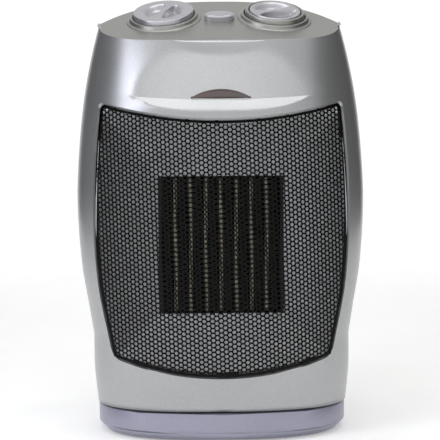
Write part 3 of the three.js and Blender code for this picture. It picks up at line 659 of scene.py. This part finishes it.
def back_point(column, z):
    """A point of the rear wall. Columns run from the left seam to the right seam."""
    width, depth = half_width(z), back_depth(z) - 0.1
    inside = column - SIDE_COLUMNS
    if 0 <= inside <= BACK_COLUMNS:
        x = SLOT_HALF * (2 * inside / BACK_COLUMNS - 1)
    else:
        side = -1 if inside < 0 else 1
        past = -inside if inside < 0 else inside - BACK_COLUMNS
        start = math.asin((SLOT_HALF / width) ** (ROUNDNESS / 2))
        x = side * width * math.sin(mix(start, math.pi / 2, past / SIDE_COLUMNS)) ** (2 / ROUNDNESS)
    return Vector((x, SEAM_Y + oval(x, width, depth), z))


def wall_top(column):
    return solve(lambda z: z - hood_z(back_point(column, z).x, back_point(column, z).y), 225, 275)


def rear_point(column, row):
    if row < len(BACK_ROWS):
        return back_point(column, BACK_ROWS[row])
    columns = BACK_COLUMNS + 2 * SIDE_COLUMNS
    edge = back_point(column, wall_top(column))
    round_off = SHOULDER_RADIUS * (1 - abs(2 * column / columns - 1) ** 6) + 0.01
    low = back_point(column, edge.z - round_off)
    past = row - len(BACK_ROWS) + 1
    if past <= 4:
        return back_point(column, mix(GRIP_HIGH, low.z, past / 4))
    far_x = RIDGE_END[0] * edge.x / half_width(wall_top(columns))
    far_x = min(max(far_x, -RIDGE_END[0]), RIDGE_END[0])
    far_y = ridge_y(far_x) if abs(far_x) < RIDGE_END[0] - 0.01 else RIDGE_END[1]
    run = Vector((far_x - edge.x, far_y - edge.y))

    def on_hood(share):
        x, y = edge.x + run.x * share, edge.y + run.y * share
        return Vector((x, y, hood_z(x, y)))

    start = min(round_off / run.length, 0.5)
    if past <= 4 + SHOULDER_ROWS:
        t = (past - 4) / SHOULDER_ROWS
        return low * (1 - t) ** 2 + edge * 2 * t * (1 - t) + on_hood(start) * t * t
    return on_hood(mix(start, 1, (past - 4 - SHOULDER_ROWS) / HOOD_ROWS))


# %% [markdown]
# The hood meets the wall in a soft shoulder. Round holes for the cord gland and the four case screws
# are punched last, into a patch of finer faces, so that their edges are smooth.

# %% Build the rear shell
SCREW_PLACES = [(sx * 56, z) for sx in (-1, 1) for z in (44, 190)]
SCREW_WELL_RADIUS, SCREW_WELL_DEPTH = 4.6, 9
GLAND_PLACE, GLAND_HOLE_RADIUS = (45, 42), 6.2
PATCH_MARGIN, RIM_MARGIN, PUNCH_REACH = 4.5, 2, 14


def punch(bm, centre, axis, radius, depth=0):
    """Punches a round hole through a skin and, for a depth, draws its edge inwards as a well."""
    centre, axis = Vector(centre), Vector(axis).normalized()

    def off_axis(co):
        away = co - centre
        return away - axis * away.dot(axis)

    def within(co, reach):
        return off_axis(co).length < reach and abs((co - centre).dot(axis)) < PUNCH_REACH

    near = [e for e in bm.edges if all(within(v.co, radius + PATCH_MARGIN) for v in e.verts)]
    bmesh.ops.subdivide_edges(bm, edges=near, cuts=3, use_grid_fill=True)
    gone = [f for f in bm.faces if within(f.calc_center_median(), radius)]
    bmesh.ops.delete(bm, geom=gone, context="FACES")
    rim = [e for e in bm.edges if e.is_boundary and all(within(v.co, radius + RIM_MARGIN) for v in e.verts)]
    for v in {v for e in rim for v in e.verts}:
        away = off_axis(v.co)
        v.co += away.normalized() * radius - away
    if depth:
        bmesh.ops.translate(bm, verts=pull_edges(bm, rim)[1], vec=axis * depth)


TIP_LOW, TIP_BACK, TIP_MERGE = 250, 2, 0.8
REAR_WALL = 1.8


def build_rear_shell():
    columns = BACK_COLUMNS + 2 * SIDE_COLUMNS
    rows = len(BACK_ROWS) - 1 + 4 + SHOULDER_ROWS + HOOD_ROWS
    bm = bmesh.new()
    bmesh.ops.create_grid(bm, x_segments=columns, y_segments=rows, size=0.5)
    for v in bm.verts:
        v.co = rear_point(round((v.co.x + 0.5) * columns), round((v.co.y + 0.5) * rows))
    face_along(bm, 1, 1)
    edges = slot_edges()

    def over(face, low, high):
        centre = face.calc_center_median()
        return centre.y > 0 and abs(centre.x) < SLOT_HALF and low < centre.z < high

    slots = [f for f in bm.faces if any(over(f, a, b) for a, b in zip(edges[::2], edges[1::2]))]
    bmesh.ops.delete(bm, geom=slots, context="FACES")
    grip = [f for f in bm.faces if over(f, GRIP_LOW, GRIP_HIGH)]
    pushed = bmesh.ops.extrude_face_region(bm, geom=grip)["geom"]
    bmesh.ops.delete(bm, geom=grip, context="FACES")
    for v in only(bmesh.types.BMVert, pushed):
        v.co.y -= GRIP_DEPTH
        v.co.x *= 0.95
        v.co.z = mix((GRIP_LOW + GRIP_HIGH) / 2, v.co.z, 0.88)
    for x, z in SCREW_PLACES:
        wall = SEAM_Y + oval(x, half_width(z), back_depth(z))
        punch(bm, (x, wall, z), (0, -1, 0), SCREW_WELL_RADIUS, SCREW_WELL_DEPTH)
    x, z = GLAND_PLACE
    punch(bm, (x, SEAM_Y + oval(x, half_width(z), back_depth(z)), z), (0, -1, 0), GLAND_HOLE_RADIUS)
    tips = [f for f in bm.faces if f.calc_center_median().z > TIP_LOW and f.calc_center_median().y < SEAM_Y]
    bmesh.ops.delete(bm, geom=tips, context="FACES")
    near_tips = [v for v in bm.verts if v.co.z > TIP_LOW and v.co.y < TIP_BACK]
    bmesh.ops.remove_doubles(bm, verts=near_tips, dist=TIP_MERGE)
    shell = finish_piece(bm, "rear_shell_skin", "head", SHELL_PAINT, ["rear_shell"], edge_angle=28)
    soften_wall(shell, REAR_WALL)
    return shell


rear_shell_skin = build_rear_shell()

# %% [markdown]
# ## The deck
# The sloping deck carries the controls. It is one crowned skin between the front shell's top edge and
# the ridge of the hood, in the shape of a lens seen from above.

# %% Deck
DECK_COLUMNS, DECK_ROWS = 96, 36
DECK_WALL, DECK_ROUNDING = 1.8, 0.35


def deck_point(u, t):
    x = u * RIDGE_END[0]
    front = skin_y(x, deck_edge(x)) if abs(x) < RIDGE_END[0] - 0.01 else RIDGE_END[1]
    back = max(ridge_y(x), front) if abs(x) < RIDGE_END[0] - 0.01 else RIDGE_END[1]
    y = mix(front, back, t)
    return Vector((x, y, deck_z(x, y)))


def build_deck():
    bm = bmesh.new()
    bmesh.ops.create_grid(bm, x_segments=DECK_COLUMNS, y_segments=DECK_ROWS, size=0.5)
    for v in bm.verts:
        v.co = deck_point(math.sin((v.co.x) * math.pi), v.co.y + 0.5)
    face_along(bm, 2, 1)
    deck = finish_piece(bm, "deck_skin", "head", DECK_PAINT, ["top_deck"])
    soften_wall(deck, DECK_WALL)
    soften(deck, DECK_ROUNDING, 3, 50)
    return deck


deck_skin = build_deck()

# %% [markdown]
# ## Seats of the controls
# Each control stands square on the crowned deck. A seat is the point of the deck under it with the
# deck's own slope there, and everything round is modelled upright about the origin and then moved
# onto its seat.

# %% Seats and round pieces
DIAL_X, DIAL_Y = 35.3, -16
BUTTON_Y = -20.8


def seat_matrix(x, y):
    up = Vector((x / DECK_CROWN, -DECK_RISE, 1)).normalized()
    right = Vector((0, 1, 0)).cross(up).normalized()
    turn = Matrix((right, up.cross(right), up)).transposed().to_4x4()
    return Matrix.Translation(Vector((x, y, deck_z(x, y)))) @ turn


def turned(profile, steps=96):
    """Spins a profile of (radius, height) pairs into a closed turned piece or ring."""
    bm = bmesh.new()
    points = [bm.verts.new((r, 0, z)) for r, z in profile]
    edges = [bm.edges.new(pair) for pair in zip(points, points[1:])]
    if profile[0][0] > 0 and profile[-1][0] > 0:
        edges.append(bm.edges.new((points[-1], points[0])))
    bmesh.ops.spin(bm, geom=points + edges, cent=(0, 0, 0), axis=(0, 0, 1), angle=2 * math.pi, steps=steps,
                   use_merge=True)
    bmesh.ops.remove_doubles(bm, verts=bm.verts, dist=0.001)
    bmesh.ops.recalc_face_normals(bm, faces=bm.faces)
    return bm


left_seat, right_seat = seat_matrix(-DIAL_X, DIAL_Y), seat_matrix(DIAL_X, DIAL_Y)
button_seat = seat_matrix(0, BUTTON_Y)
print("left dial sits at, mm:", [round(v, 1) for v in left_seat.translation])

# %% [markdown]
# Each dial sits in a raised collar that grows out of the deck with a fillet, and a dark gap parts the
# collar from the dial. The collar is moulded with the deck, so it is made of the same paint.

# %% Collars
MODE_RADIUS, THERMOSTAT_RADIUS = 19.2, 16.3
BEZEL_INNER, BEZEL_OUTER = 16.7, 19.1
COLLAR_GAP, COLLAR_WALL, COLLAR_HEIGHT = 0.7, 1.5, 2.6


def build_collar(name, radius, seat):
    inner, outer = radius + COLLAR_GAP, radius + COLLAR_GAP + COLLAR_WALL
    profile = [(inner, -0.8), (inner, 2.1), (inner + 0.15, 2.45), (inner + 0.5, COLLAR_HEIGHT),
               (outer - 0.3, 2.5), (outer + 0.15, 2.1), (outer + 0.45, 1.3), (outer + 0.8, 0.65),
               (outer + 1.4, 0.22), (outer + 2.3, 0.04), (outer + 2.5, -0.3)]
    bm = turned(profile, 128)
    bmesh.ops.transform(bm, matrix=seat, verts=bm.verts)
    for v in bm.verts:
        lift = v.co.z - deck_z(v.co.x, v.co.y)
        if lift < 0:
            v.co.z = deck_z(v.co.x, v.co.y) - 0.3
    return finish_piece(bm, name, "head", DECK_PAINT, edge_angle=50)


mode_collar = build_collar("mode_collar", MODE_RADIUS, left_seat)
thermostat_collar = build_collar("thermostat_collar", BEZEL_OUTER, right_seat)

# %% [markdown]
# A dial is a flat disc with two pockets pressed into it, one on each side of a waisted finger ridge.
# The pockets are a height over the disc: they fall steeply beside the ridge and gently from the rim.
# A fine polar mesh is spun first, and then every point is set to its height.

# %% Dials
DIAL_FOOT, DIAL_TOP = 0.8, 5.3
POCKET_DEPTH = 3.6
RIDGE_WAIST, RIDGE_FLARE = 1.7, 2.6
DIAL_RINGS = 44


def pocket_depth(x, y, dish, turn_angle):
    along = x * math.cos(turn_angle) + y * math.sin(turn_angle)
    across = -x * math.sin(turn_angle) + y * math.cos(turn_angle)
    ridge = RIDGE_WAIST + RIDGE_FLARE * (along / dish) ** 2
    ease = lambda share: (lambda s: s * s * (3 - 2 * s))(min(max(share, 0), 1))
    from_rim = ease((dish - math.hypot(x, y)) / (dish * 0.42))
    from_ridge = ease((abs(across) - ridge) / 1.1)
    return POCKET_DEPTH * from_rim * from_ridge


def build_dial(name, radius, dish, turn_angle, seat, body, node):
    top = [(radius - 0.55 - k * (radius - 0.55) / DIAL_RINGS, DIAL_TOP) for k in range(DIAL_RINGS)] + [(0, DIAL_TOP)]
    profile = [(0, DIAL_FOOT), (radius - 0.4, DIAL_FOOT), (radius, DIAL_FOOT + 0.3), (radius, DIAL_TOP - 0.7),
               (radius - 0.15, DIAL_TOP - 0.25)] + top
    bm = turned(profile, 144)
    for v in bm.verts:
        if v.co.z > DIAL_TOP - 0.01:
            v.co.z -= pocket_depth(v.co.x, v.co.y, dish, turn_angle)
    bmesh.ops.transform(bm, matrix=seat, verts=bm.verts)
    return finish_piece(bm, name, body, DIAL_PAINT, [node], edge_angle=50)


mode_dial_cap = build_dial("mode_dial_cap", MODE_RADIUS, 13.6, 1.15, left_seat, "mode_dial", "mode_knob")
thermostat_dial_cap = build_dial("thermostat_dial_cap", THERMOSTAT_RADIUS, 15.2, 0.45, right_seat,
                                 "thermostat_dial", "thermostat_knob")

# %% [markdown]
# The thermostat's dial is smaller, and a separate ring fills the space between it and its collar.

# %% Thermostat ring
def build_bezel():
    profile = [(BEZEL_INNER + 0.2, 0.6), (BEZEL_INNER + 0.2, 4.5), (BEZEL_INNER + 0.5, 4.95), (BEZEL_INNER + 0.9, 5.1),
               (BEZEL_OUTER - 0.9, 5.0), (BEZEL_OUTER - 0.3, 4.6), (BEZEL_OUTER, 3.9), (BEZEL_OUTER, 0.6)]
    bm = turned(profile, 128)
    bmesh.ops.transform(bm, matrix=right_seat, verts=bm.verts)
    return finish_piece(bm, "thermostat_ring", "head", DECK_PAINT, ["thermostat_bezel"], edge_angle=50)


thermostat_ring = build_bezel()

# %% [markdown]
# The swing button is an oval stub whose top is slightly crowned.

# %% Swing button
BUTTON_HALF, BUTTON_DEPTH, BUTTON_TOP, BUTTON_SUNK = 9.5, 5.2, 4.0, 2.0
BUTTON_CROWN, BUTTON_RING = 0.35, 0.14


def build_button():
    bm = bmesh.new()
    bmesh.ops.create_circle(bm, cap_ends=True, segments=72, radius=1)
    bmesh.ops.translate(bm, verts=bm.verts, vec=(0, 0, -BUTTON_SUNK))
    face = bm.faces[:]
    for height in (1.2, 3.4, 5.0, 5.7, 6.0):
        face = only(bmesh.types.BMFace, bmesh.ops.extrude_face_region(bm, geom=face)["geom"])
        shrink = 1 - 0.11 * max(0, (height - 5) / 1.0) ** 2
        for v in {v for f in face for v in f.verts}:
            flat = Vector((v.co.x, v.co.y)).normalized()
            v.co = (flat.x * shrink, flat.y * shrink, height - BUTTON_SUNK)
    for _ in range(5):
        bmesh.ops.inset_region(bm, faces=face, thickness=BUTTON_RING)
    for v in bm.verts:
        round_x = signed_power(v.co.x, 0.86)
        crown = BUTTON_CROWN * (1 - v.co.x ** 2 - v.co.y ** 2) if v.co.z > BUTTON_TOP - 0.01 else 0
        sunk = BUTTON_CROWN * (v.co.z > BUTTON_TOP - 0.5)
        v.co = (round_x * BUTTON_HALF, v.co.y * BUTTON_DEPTH, v.co.z + crown - sunk)
    bmesh.ops.transform(bm, matrix=button_seat, verts=bm.verts)
    return finish_piece(bm, "swing_button_cap", "button", DIAL_PAINT, ["swing_button"], edge_angle=45,
                        outward=True)


swing_button_cap = build_button()

# %% [markdown]
# ## The base
# The base is a shallow oval bowl turned upside down. It tucks in under the head with a dark seam, and
# its upper edge is a wide slope that catches light.

# %% Base
BASE_HALF_WIDTH, BASE_HALF_DEPTH = 80.8, 57.5
BASE_ROUNDNESS, BASE_WALL = 2.5, 1.8
BASE_PROFILE = [(-5.0, 1.2), (-0.45, 5.7), (-0.1, 6.2), (0.0, 6.8), (0.0, 17.9), (-0.15, 18.3), (-0.5, 18.55),
                (-1.0, 18.6), (-12, 18.6), (-24, 18.6), (-32, 18.6)]


def base_outline(grow, z, verts):
    for v in verts:
        angle = math.atan2(v.co.y, v.co.x)
        x = (BASE_HALF_WIDTH + grow) * signed_power(math.cos(angle), 2 / BASE_ROUNDNESS)
        y = (BASE_HALF_DEPTH + grow) * signed_power(math.sin(angle), 2 / BASE_ROUNDNESS)
        v.co = (x, y, z)


print("base, mm:", BASE_HALF_WIDTH * 2, "x", BASE_HALF_DEPTH * 2)


def build_base():
    bm = bmesh.new()
    bmesh.ops.create_circle(bm, cap_ends=False, segments=160, radius=1)
    edge = bm.edges[:]
    base_outline(*BASE_PROFILE[0], bm.verts[:])
    for grow, z in BASE_PROFILE[1:]:
        edge, moved = pull_edges(bm, edge)
        base_outline(grow, z, moved)
    face_along(bm, 2, 1)
    base = finish_piece(bm, "base_skin", "base", BASE_PAINT, ["base_shell"], edge_angle=40)
    soften_wall(base, BASE_WALL)
    return base


base_skin = build_base()

# %% [markdown]
# ## The indicator lens
# A flat-bottomed lens of dark red acrylic lies in the forehead just above the ledge. Its outline is
# an arch, its face follows the forehead, and its edge is rounded.

# %% Indicator lens
LENS_HALF, LENS_HEIGHT, LENS_BASE, LENS_PROUD, LENS_WALL = 18.7, 5.9, 214.0, 0.5, 1.2


def build_lens():
    bm = bmesh.new()
    bmesh.ops.create_grid(bm, x_segments=48, y_segments=10, size=0.5)
    for v in bm.verts:
        u, t = v.co.x * 2, v.co.y + 0.5
        x = LENS_HALF * u
        foot = LENS_BASE + x * x / LEDGE_RISE
        z = foot + t * LENS_HEIGHT * max(1 - u * u, 0.0) ** 0.9
        edge = min(1, 6 * min(t, 1 - t, (1 - abs(u)) * 1.5))
        v.co = (x, skin_y(x, z, False) - LENS_PROUD * math.sqrt(max(edge * (2 - edge), 0)), z)
    bmesh.ops.remove_doubles(bm, verts=bm.verts, dist=0.01)
    face_along(bm, 1, -1)
    lens = finish_piece(bm, "lens_cap", "head", RED_LENS, ["indicator_lens"], edge_angle=60)
    thicken(lens, LENS_WALL)
    return lens


lens_cap = build_lens()

# %% [markdown]
# ## The punched front sheet
# The front sheet is steel punched with 2.2 mm holes in a staggered pattern of 3 mm pitch, then coated
# black. One hexagonal cell with a round hole is made once and copied over the whole sheet, which keeps
# the mesh light. The flat pattern is then bent to the sheet's curve, and its wall is added last.

# %% Punched sheet
PITCH = 3.0
COLUMN_PITCH = PITCH * math.sqrt(3) / 2
HOLE_RADIUS = 1.12
SHEET_COLUMNS, SHEET_ROWS = 33, 30
LATTICE_TURN = math.radians(2.0)
SHEET_FRONT_Y, SHEET_RADIUS_X, SHEET_RADIUS_Z, SHEET_CENTRE_Z = -64.5, 158, 900, 121.5
SHEET_THICKNESS = 0.5
SHEET_GAP = 0.4
BORDER = 1.5


def sheet_y(x, z):
    bow = SHEET_RADIUS_X - math.sqrt(SHEET_RADIUS_X ** 2 - x * x)
    return SHEET_FRONT_Y + bow + (z - SHEET_CENTRE_Z) ** 2 / (2 * SHEET_RADIUS_Z)


def mouth_inset(x, z):
    """How far inside the outline of the mouth a point is, in mm, and less than 0 outside it."""
    return min(mouth_half(z) - abs(x), mouth_top(x) - z, z - mouth_bottom(x))


def hex_cell(bm):
    """A flat hexagon with a twelve-sided hole: a circle's edge drawn out to six corners."""
    made = bmesh.ops.create_circle(bm, cap_ends=False, segments=12, radius=HOLE_RADIUS)["verts"]
    for v in pull_edges(bm, list({e for v in made for e in v.link_edges}))[1]:
        sixth = math.radians(60)
        corner = sixth * math.ceil(math.atan2(v.co.y, v.co.x) / sixth - 0.1)
        v.co = Vector((math.cos(corner), math.sin(corner), 0)) * PITCH / math.sqrt(3)
    bmesh.ops.remove_doubles(bm, verts=bm.verts, dist=0.01)


def build_sheet():
    bm = bmesh.new()
    hex_cell(bm)
    cell_row = bm.verts.layers.int.new("row")
    cell_column = bm.verts.layers.int.new("column")
    for layer, reach, step in ((cell_row, SHEET_ROWS, lambda j: (0, j * PITCH, 0)),
                               (cell_column, SHEET_COLUMNS, lambda i: (i * COLUMN_PITCH, i % 2 * PITCH / 2, 0))):
        source = bm.verts[:] + bm.edges[:] + bm.faces[:]
        for k in range(-reach, reach + 1):
            made = bmesh.ops.duplicate(bm, geom=source)["geom"]
            copies = only(bmesh.types.BMVert, made)
            bmesh.ops.translate(bm, vec=step(k), verts=copies)
            for v in copies:
                v[layer] = k
        bmesh.ops.delete(bm, geom=[g for g in source if isinstance(g, bmesh.types.BMVert)], context="VERTS")
    spin = Matrix.Rotation(LATTICE_TURN, 2)

    def bent(flat):
        across, up = spin @ Vector(flat)
        return SHEET_RADIUS_X * math.sin(across / SHEET_RADIUS_X), up + SHEET_CENTRE_Z

    inside = {(i, j): mouth_inset(*bent((i * COLUMN_PITCH, (j + i % 2 / 2) * PITCH))) > BORDER
              for i in range(-SHEET_COLUMNS, SHEET_COLUMNS + 1) for j in range(-SHEET_ROWS, SHEET_ROWS + 1)}
    bmesh.ops.delete(bm, geom=[v for v in bm.verts if not inside[v[cell_column], v[cell_row]]], context="VERTS")
    for v in bm.verts:
        x, z = bent((v.co.x, v.co.y))
        v.co = (x, sheet_y(x, z), z)
    print("holes in the sheet:", sum(inside.values()))
    sheet = finish_piece(bm, "punched_sheet", "head", POWDER_BLACK, ["front_grille"], merge=0.02)
    thicken(sheet, SHEET_THICKNESS, inward=False)
    return sheet


punched_sheet = build_sheet()

# %% [markdown]
# A plain border runs round the punched field, just behind it, and fills the space to the mouth's rim.

# %% Border of the sheet
def rim_outline(inset):
    """Points of the mouth's outline, each moved inwards, in order round the mouth."""
    points = []
    for side, steps in (("bottom", 40), ("right", 40), ("top", 40), ("left", 40)):
        for k in range(steps):
            t = k / steps
            if side == "bottom":
                half = mouth_half(mouth_bottom(MOUTH_BOTTOM_HALF)) - inset
                x = mix(-half, half, t)
                z = mouth_bottom(x) + inset
            elif side == "top":
                half = mouth_half(mouth_top(MOUTH_TOP_HALF)) - inset
                x = mix(half, -half, t)
                z = mouth_top(x) - inset
            else:
                low = mouth_bottom(MOUTH_BOTTOM_HALF) + inset
                high = mouth_top(MOUTH_TOP_HALF) - inset
                z = mix(low, high, t) if side == "right" else mix(high, low, t)
                x = (mouth_half(z) - inset) * (1 if side == "right" else -1)
            points.append(Vector((x, 0, z)))
    return points


def build_border():
    bm = bmesh.new()
    loops = []
    for inset, back in ((SHEET_GAP, 0.0), (BORDER + 0.6, 0.12)):
        ring = [bm.verts.new((p.x, sheet_y(p.x, p.z) + back, p.z)) for p in rim_outline(inset)]
        loops += [bm.edges.new(pair) for pair in zip(ring, ring[1:] + ring[:1])]
    bmesh.ops.bridge_loops(bm, edges=loops)
    face_along(bm, 1, -1)
    border = finish_piece(bm, "sheet_border", "head", POWDER_BLACK)
    thicken(border, SHEET_THICKNESS)
    return border


sheet_border = build_border()

# %% [markdown]
# Three rounded clips at the lower edge hold the sheet in the shell. Each one is turned to the curve of
# the sheet and to the slope of the edge where it stands.

# %% Clips of the sheet
CLIPS = [(-51.6, 10.0), (1.9, 12.7), (53.6, 9.4)]
CLIP_HEIGHT, CLIP_DEPTH, CLIP_EDGE = 2.8, 1.4, 0.35


def build_clips():
    bm = bmesh.new()
    for x, width in CLIPS:
        clip = bmesh.ops.create_cube(bm, size=1)["verts"]
        z = mouth_bottom(x) + SHEET_GAP + CLIP_HEIGHT / 2
        climb = math.atan2(mouth_bottom(x + 1) - mouth_bottom(x - 1), 2)
        turn = Matrix.Rotation(math.asin(x / SHEET_RADIUS_X), 4, "Z") @ Matrix.Rotation(-climb, 4, "Y")
        place = Matrix.Translation((x, sheet_y(x, z) - 0.3, z)) @ turn
        size = Matrix.Diagonal((width, CLIP_DEPTH, CLIP_HEIGHT, 1))
        bmesh.ops.transform(bm, matrix=place @ size, verts=clip)
    bmesh.ops.bevel(bm, geom=bm.edges[:], offset=CLIP_EDGE, offset_type="OFFSET", segments=3, profile=0.5,
                    affect="EDGES", clamp_overlap=True, material=-1)
    return finish_piece(bm, "sheet_clips", "head", POWDER_BLACK, edge_angle=50)


sheet_clips = build_clips()

# %% [markdown]
# ## The heating element
# Behind the sheet stand seven ceramic bars in bright foil. Between them run corrugated aluminium fins, which
# carry the heat into the air: a thin strip folded back and forth about every 1.7 mm, painted near black as the
# shade in its folds deep behind the grille. Each ribbon is one folded line drawn downwards and extruded towards the
# back.

# %% Fin ribbons
WINDOW_HALF_HEIGHT, WINDOW_CENTRE = 43.5, 121.5
STRIP_FRONT_Y, STRIP_DEPTH, STRIP_WIDTH = -26.2, 14, 6.9
BAR_WIDTH, BAR_FRONT_Y = 2.2, -26.7
ELEMENT_PITCH = 9.7
FOLD_PITCH, FOIL, BAR_ROUNDING, HEIGHT_SHARE = 1.7, 0.18, 0.25, 0.98


def build_ribbons():
    bm = bmesh.new()
    folds = round(2 * WINDOW_HALF_HEIGHT / FOLD_PITCH)
    for strip in range(8):
        middle = (strip - 3.5) * ELEMENT_PITCH
        line = []
        for k in range(2 * folds + 1):
            z = WINDOW_CENTRE - WINDOW_HALF_HEIGHT + 1 + k * FOLD_PITCH / 2 * HEIGHT_SHARE
            side = STRIP_WIDTH / 2 - 0.3
            line.append(bm.verts.new((middle + (side if k % 2 else -side), STRIP_FRONT_Y, z)))
        edges = [bm.edges.new(pair) for pair in zip(line, line[1:])]
        bmesh.ops.translate(bm, vec=(0, STRIP_DEPTH, 0), verts=pull_edges(bm, edges)[1])
    ribbons = finish_piece(bm, "fin_ribbons", "head", FIN_METAL_WITH_PAINTED_SHADE, [f"fin_strip_{i}" for i in range(1, 9)])
    thicken(ribbons, FOIL)
    return ribbons


fin_ribbons = build_ribbons()

# %% [markdown]
# Each bar is a plain block. Rows of edges mark where one stone ends and the next begins.

# %% Ceramic bars
def build_bars():
    bm = bmesh.new()
    for bar in range(7):
        made = bmesh.ops.create_cube(bm, size=1)["verts"]
        place = Vector(((bar - 3) * ELEMENT_PITCH, BAR_FRONT_Y + STRIP_DEPTH / 2, WINDOW_CENTRE))
        for v in made:
            height = v.co.z * 2 * WINDOW_HALF_HEIGHT * HEIGHT_SHARE
            v.co = place + Vector((v.co.x * BAR_WIDTH, v.co.y * STRIP_DEPTH, height))
    for level in (-0.5, 0.0, 0.5):
        z = WINDOW_CENTRE + level * WINDOW_HALF_HEIGHT * 1.1
        for shift in (-0.3, 0.3):
            bmesh.ops.bisect_plane(bm, geom=bm.verts[:] + bm.edges[:] + bm.faces[:], plane_co=(0, 0, z + shift),
                                   plane_no=(0, 0, 1))
    bars = finish_piece(bm, "ceramic_bars", "head", STONE, [f"ceramic_bar_{i}" for i in range(1, 8)])
    soften(bars, BAR_ROUNDING, 2)
    return bars


ceramic_bars = build_bars()

# %% [markdown]
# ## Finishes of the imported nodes
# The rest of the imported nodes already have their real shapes, so they keep them and only get a
# finish. Each one takes the material of what it is made of.

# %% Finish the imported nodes
NODE_FINISHES = {
    "outlet_funnel": DUCT_SHEET, "ptc_frame": MOULDED_BLACK, "fan_shroud": MOULDED_BLACK,
    "fan_impeller": MOULDED_BLACK, "head_floor": MOULDED_BLACK, "base_plate": MOULDED_BLACK,
    "tip_switch": MOULDED_BLACK, "dust_screen": SCREEN_MESH,
    "thermal_cutout": ZINC, "motor_bracket": ZINC, "fan_motor": ZINC, "motor_shaft": ZINC, "swing_motor": ZINC,
    "swivel_washer": ZINC, "plunger_spring": ZINC, "impeller_cap": BRASS, "mode_shaft": BRASS,
    "thermostat_shaft": BRASS, "rotary_switch": CREAM_NYLON, "thermostat_body": CREAM_NYLON,
    "swing_switch": CREAM_NYLON, "swing_crank": CREAM_NYLON, "tip_plunger": CREAM_NYLON, "cord_gland": SOFT_BLACK,
    "neon_lamp": LAMP_GLASS, **{f"case_screw_{i}": ZINC for i in range(1, 5)},
    **{f"foot_{i}": SOFT_BLACK for i in range(1, 5)},
}
for node, finish in NODE_FINISHES.items():
    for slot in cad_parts[node].material_slots:
        slot.material = finish
print("finished nodes:", len(NODE_FINISHES))

# %% [markdown]
# ## Floor, light and backdrop
# The heater stands on a plain pale floor under a pale sky of light, as in a light tent. A soft box over
# it lights the sloping ledge, and another at the left front draws the long highlight down the brow.
# Dark cards beside the heater are what a photographer uses to give a silver body its dark sides. The
# camera doesn't see them, so they don't stand in the way of other views.

# %% World
scene = bpy.context.scene
scene.view_settings.view_transform = "Standard"
world = bpy.data.worlds.new("light_tent")
scene.world = world
world.use_nodes = True
sky = world.node_tree
away = add_node(sky, "ShaderNodeSeparateXYZ", {}, {"Vector": add_node(sky, "ShaderNodeTexCoord").outputs["Generated"]})
behind = add_node(sky, "ShaderNodeMapRange", {"interpolation_type": "SMOOTHSTEP", "From Min": 0.8, "From Max": 0.95,
                                              "To Min": 0.74, "To Max": 1.06}, {"Value": away.outputs["Y"]})
sky.links.new(behind.outputs["Result"], sky.nodes["Background"].inputs["Strength"])
sky.nodes["Background"].inputs["Color"].default_value = (1, 1, 1, 1)

# %% Floor
FLOOR_RADIUS = 3.0
PALE_FLOOR = grained("pale_seamless_paper", "#f6f6f5", 0.8, 0.0, (0.02, 3.0), ("#f4f4f3", "#f9f9f8"),
                     Emission_Strength=0.3, Emission_Color=(1, 1, 1, 1))
bm = bmesh.new()
bmesh.ops.create_circle(bm, cap_ends=True, segments=96, radius=FLOOR_RADIUS)
floor = mesh_object("floor", bm, PALE_FLOOR)

# %% Dark cards
CARD_BLACK = grained("black_card", "#0c0c0c", 0.9, 0.0, (0.05,), ("#0a0a0a", "#101010"))


def add_card(name, x, y_range, z_range):
    bm = bmesh.new()
    bmesh.ops.create_grid(bm, x_segments=1, y_segments=1, size=0.5)
    for v in bm.verts:
        v.co = (x / 1000, mix(*y_range, v.co.x + 0.5) / 1000, mix(*z_range, v.co.y + 0.5) / 1000)
    card = mesh_object(name, bm, CARD_BLACK)
    card.visible_camera = False
    card.visible_shadow = False


add_card("card_left", -520, (-260, 700), (60, 700))
add_card("card_right", 520, (-320, 700), (60, 700))


# %% Soft boxes
def add_light(name, place, aim, size, watts, colour="#ffffff"):
    data = bpy.data.lights.new(name, "AREA")
    data.shape = "RECTANGLE"
    data.size, data.size_y = size[0] / 1000, size[1] / 1000
    data.energy = watts
    data.color = linear(colour)[:3]
    lamp = bpy.data.objects.new(name, data)
    lamp.location = Vector(place) / 1000
    lamp.rotation_mode = "QUATERNION"
    lamp.rotation_quaternion = (Vector(aim) - Vector(place)).to_track_quat("-Z", "Y")
    bpy.context.collection.objects.link(lamp)


add_light("soft_box_above", (0, -120, 950), (0, 0, 150), (650, 300), 1.3)
add_light("soft_box_front", (0, -1150, 760), (0, 0, 220), (800, 460), 1.35)
add_light("soft_box_left_front", (-760, -620, 660), (0, 0, 190), (420, 620), 2.9, "#eef0ff")
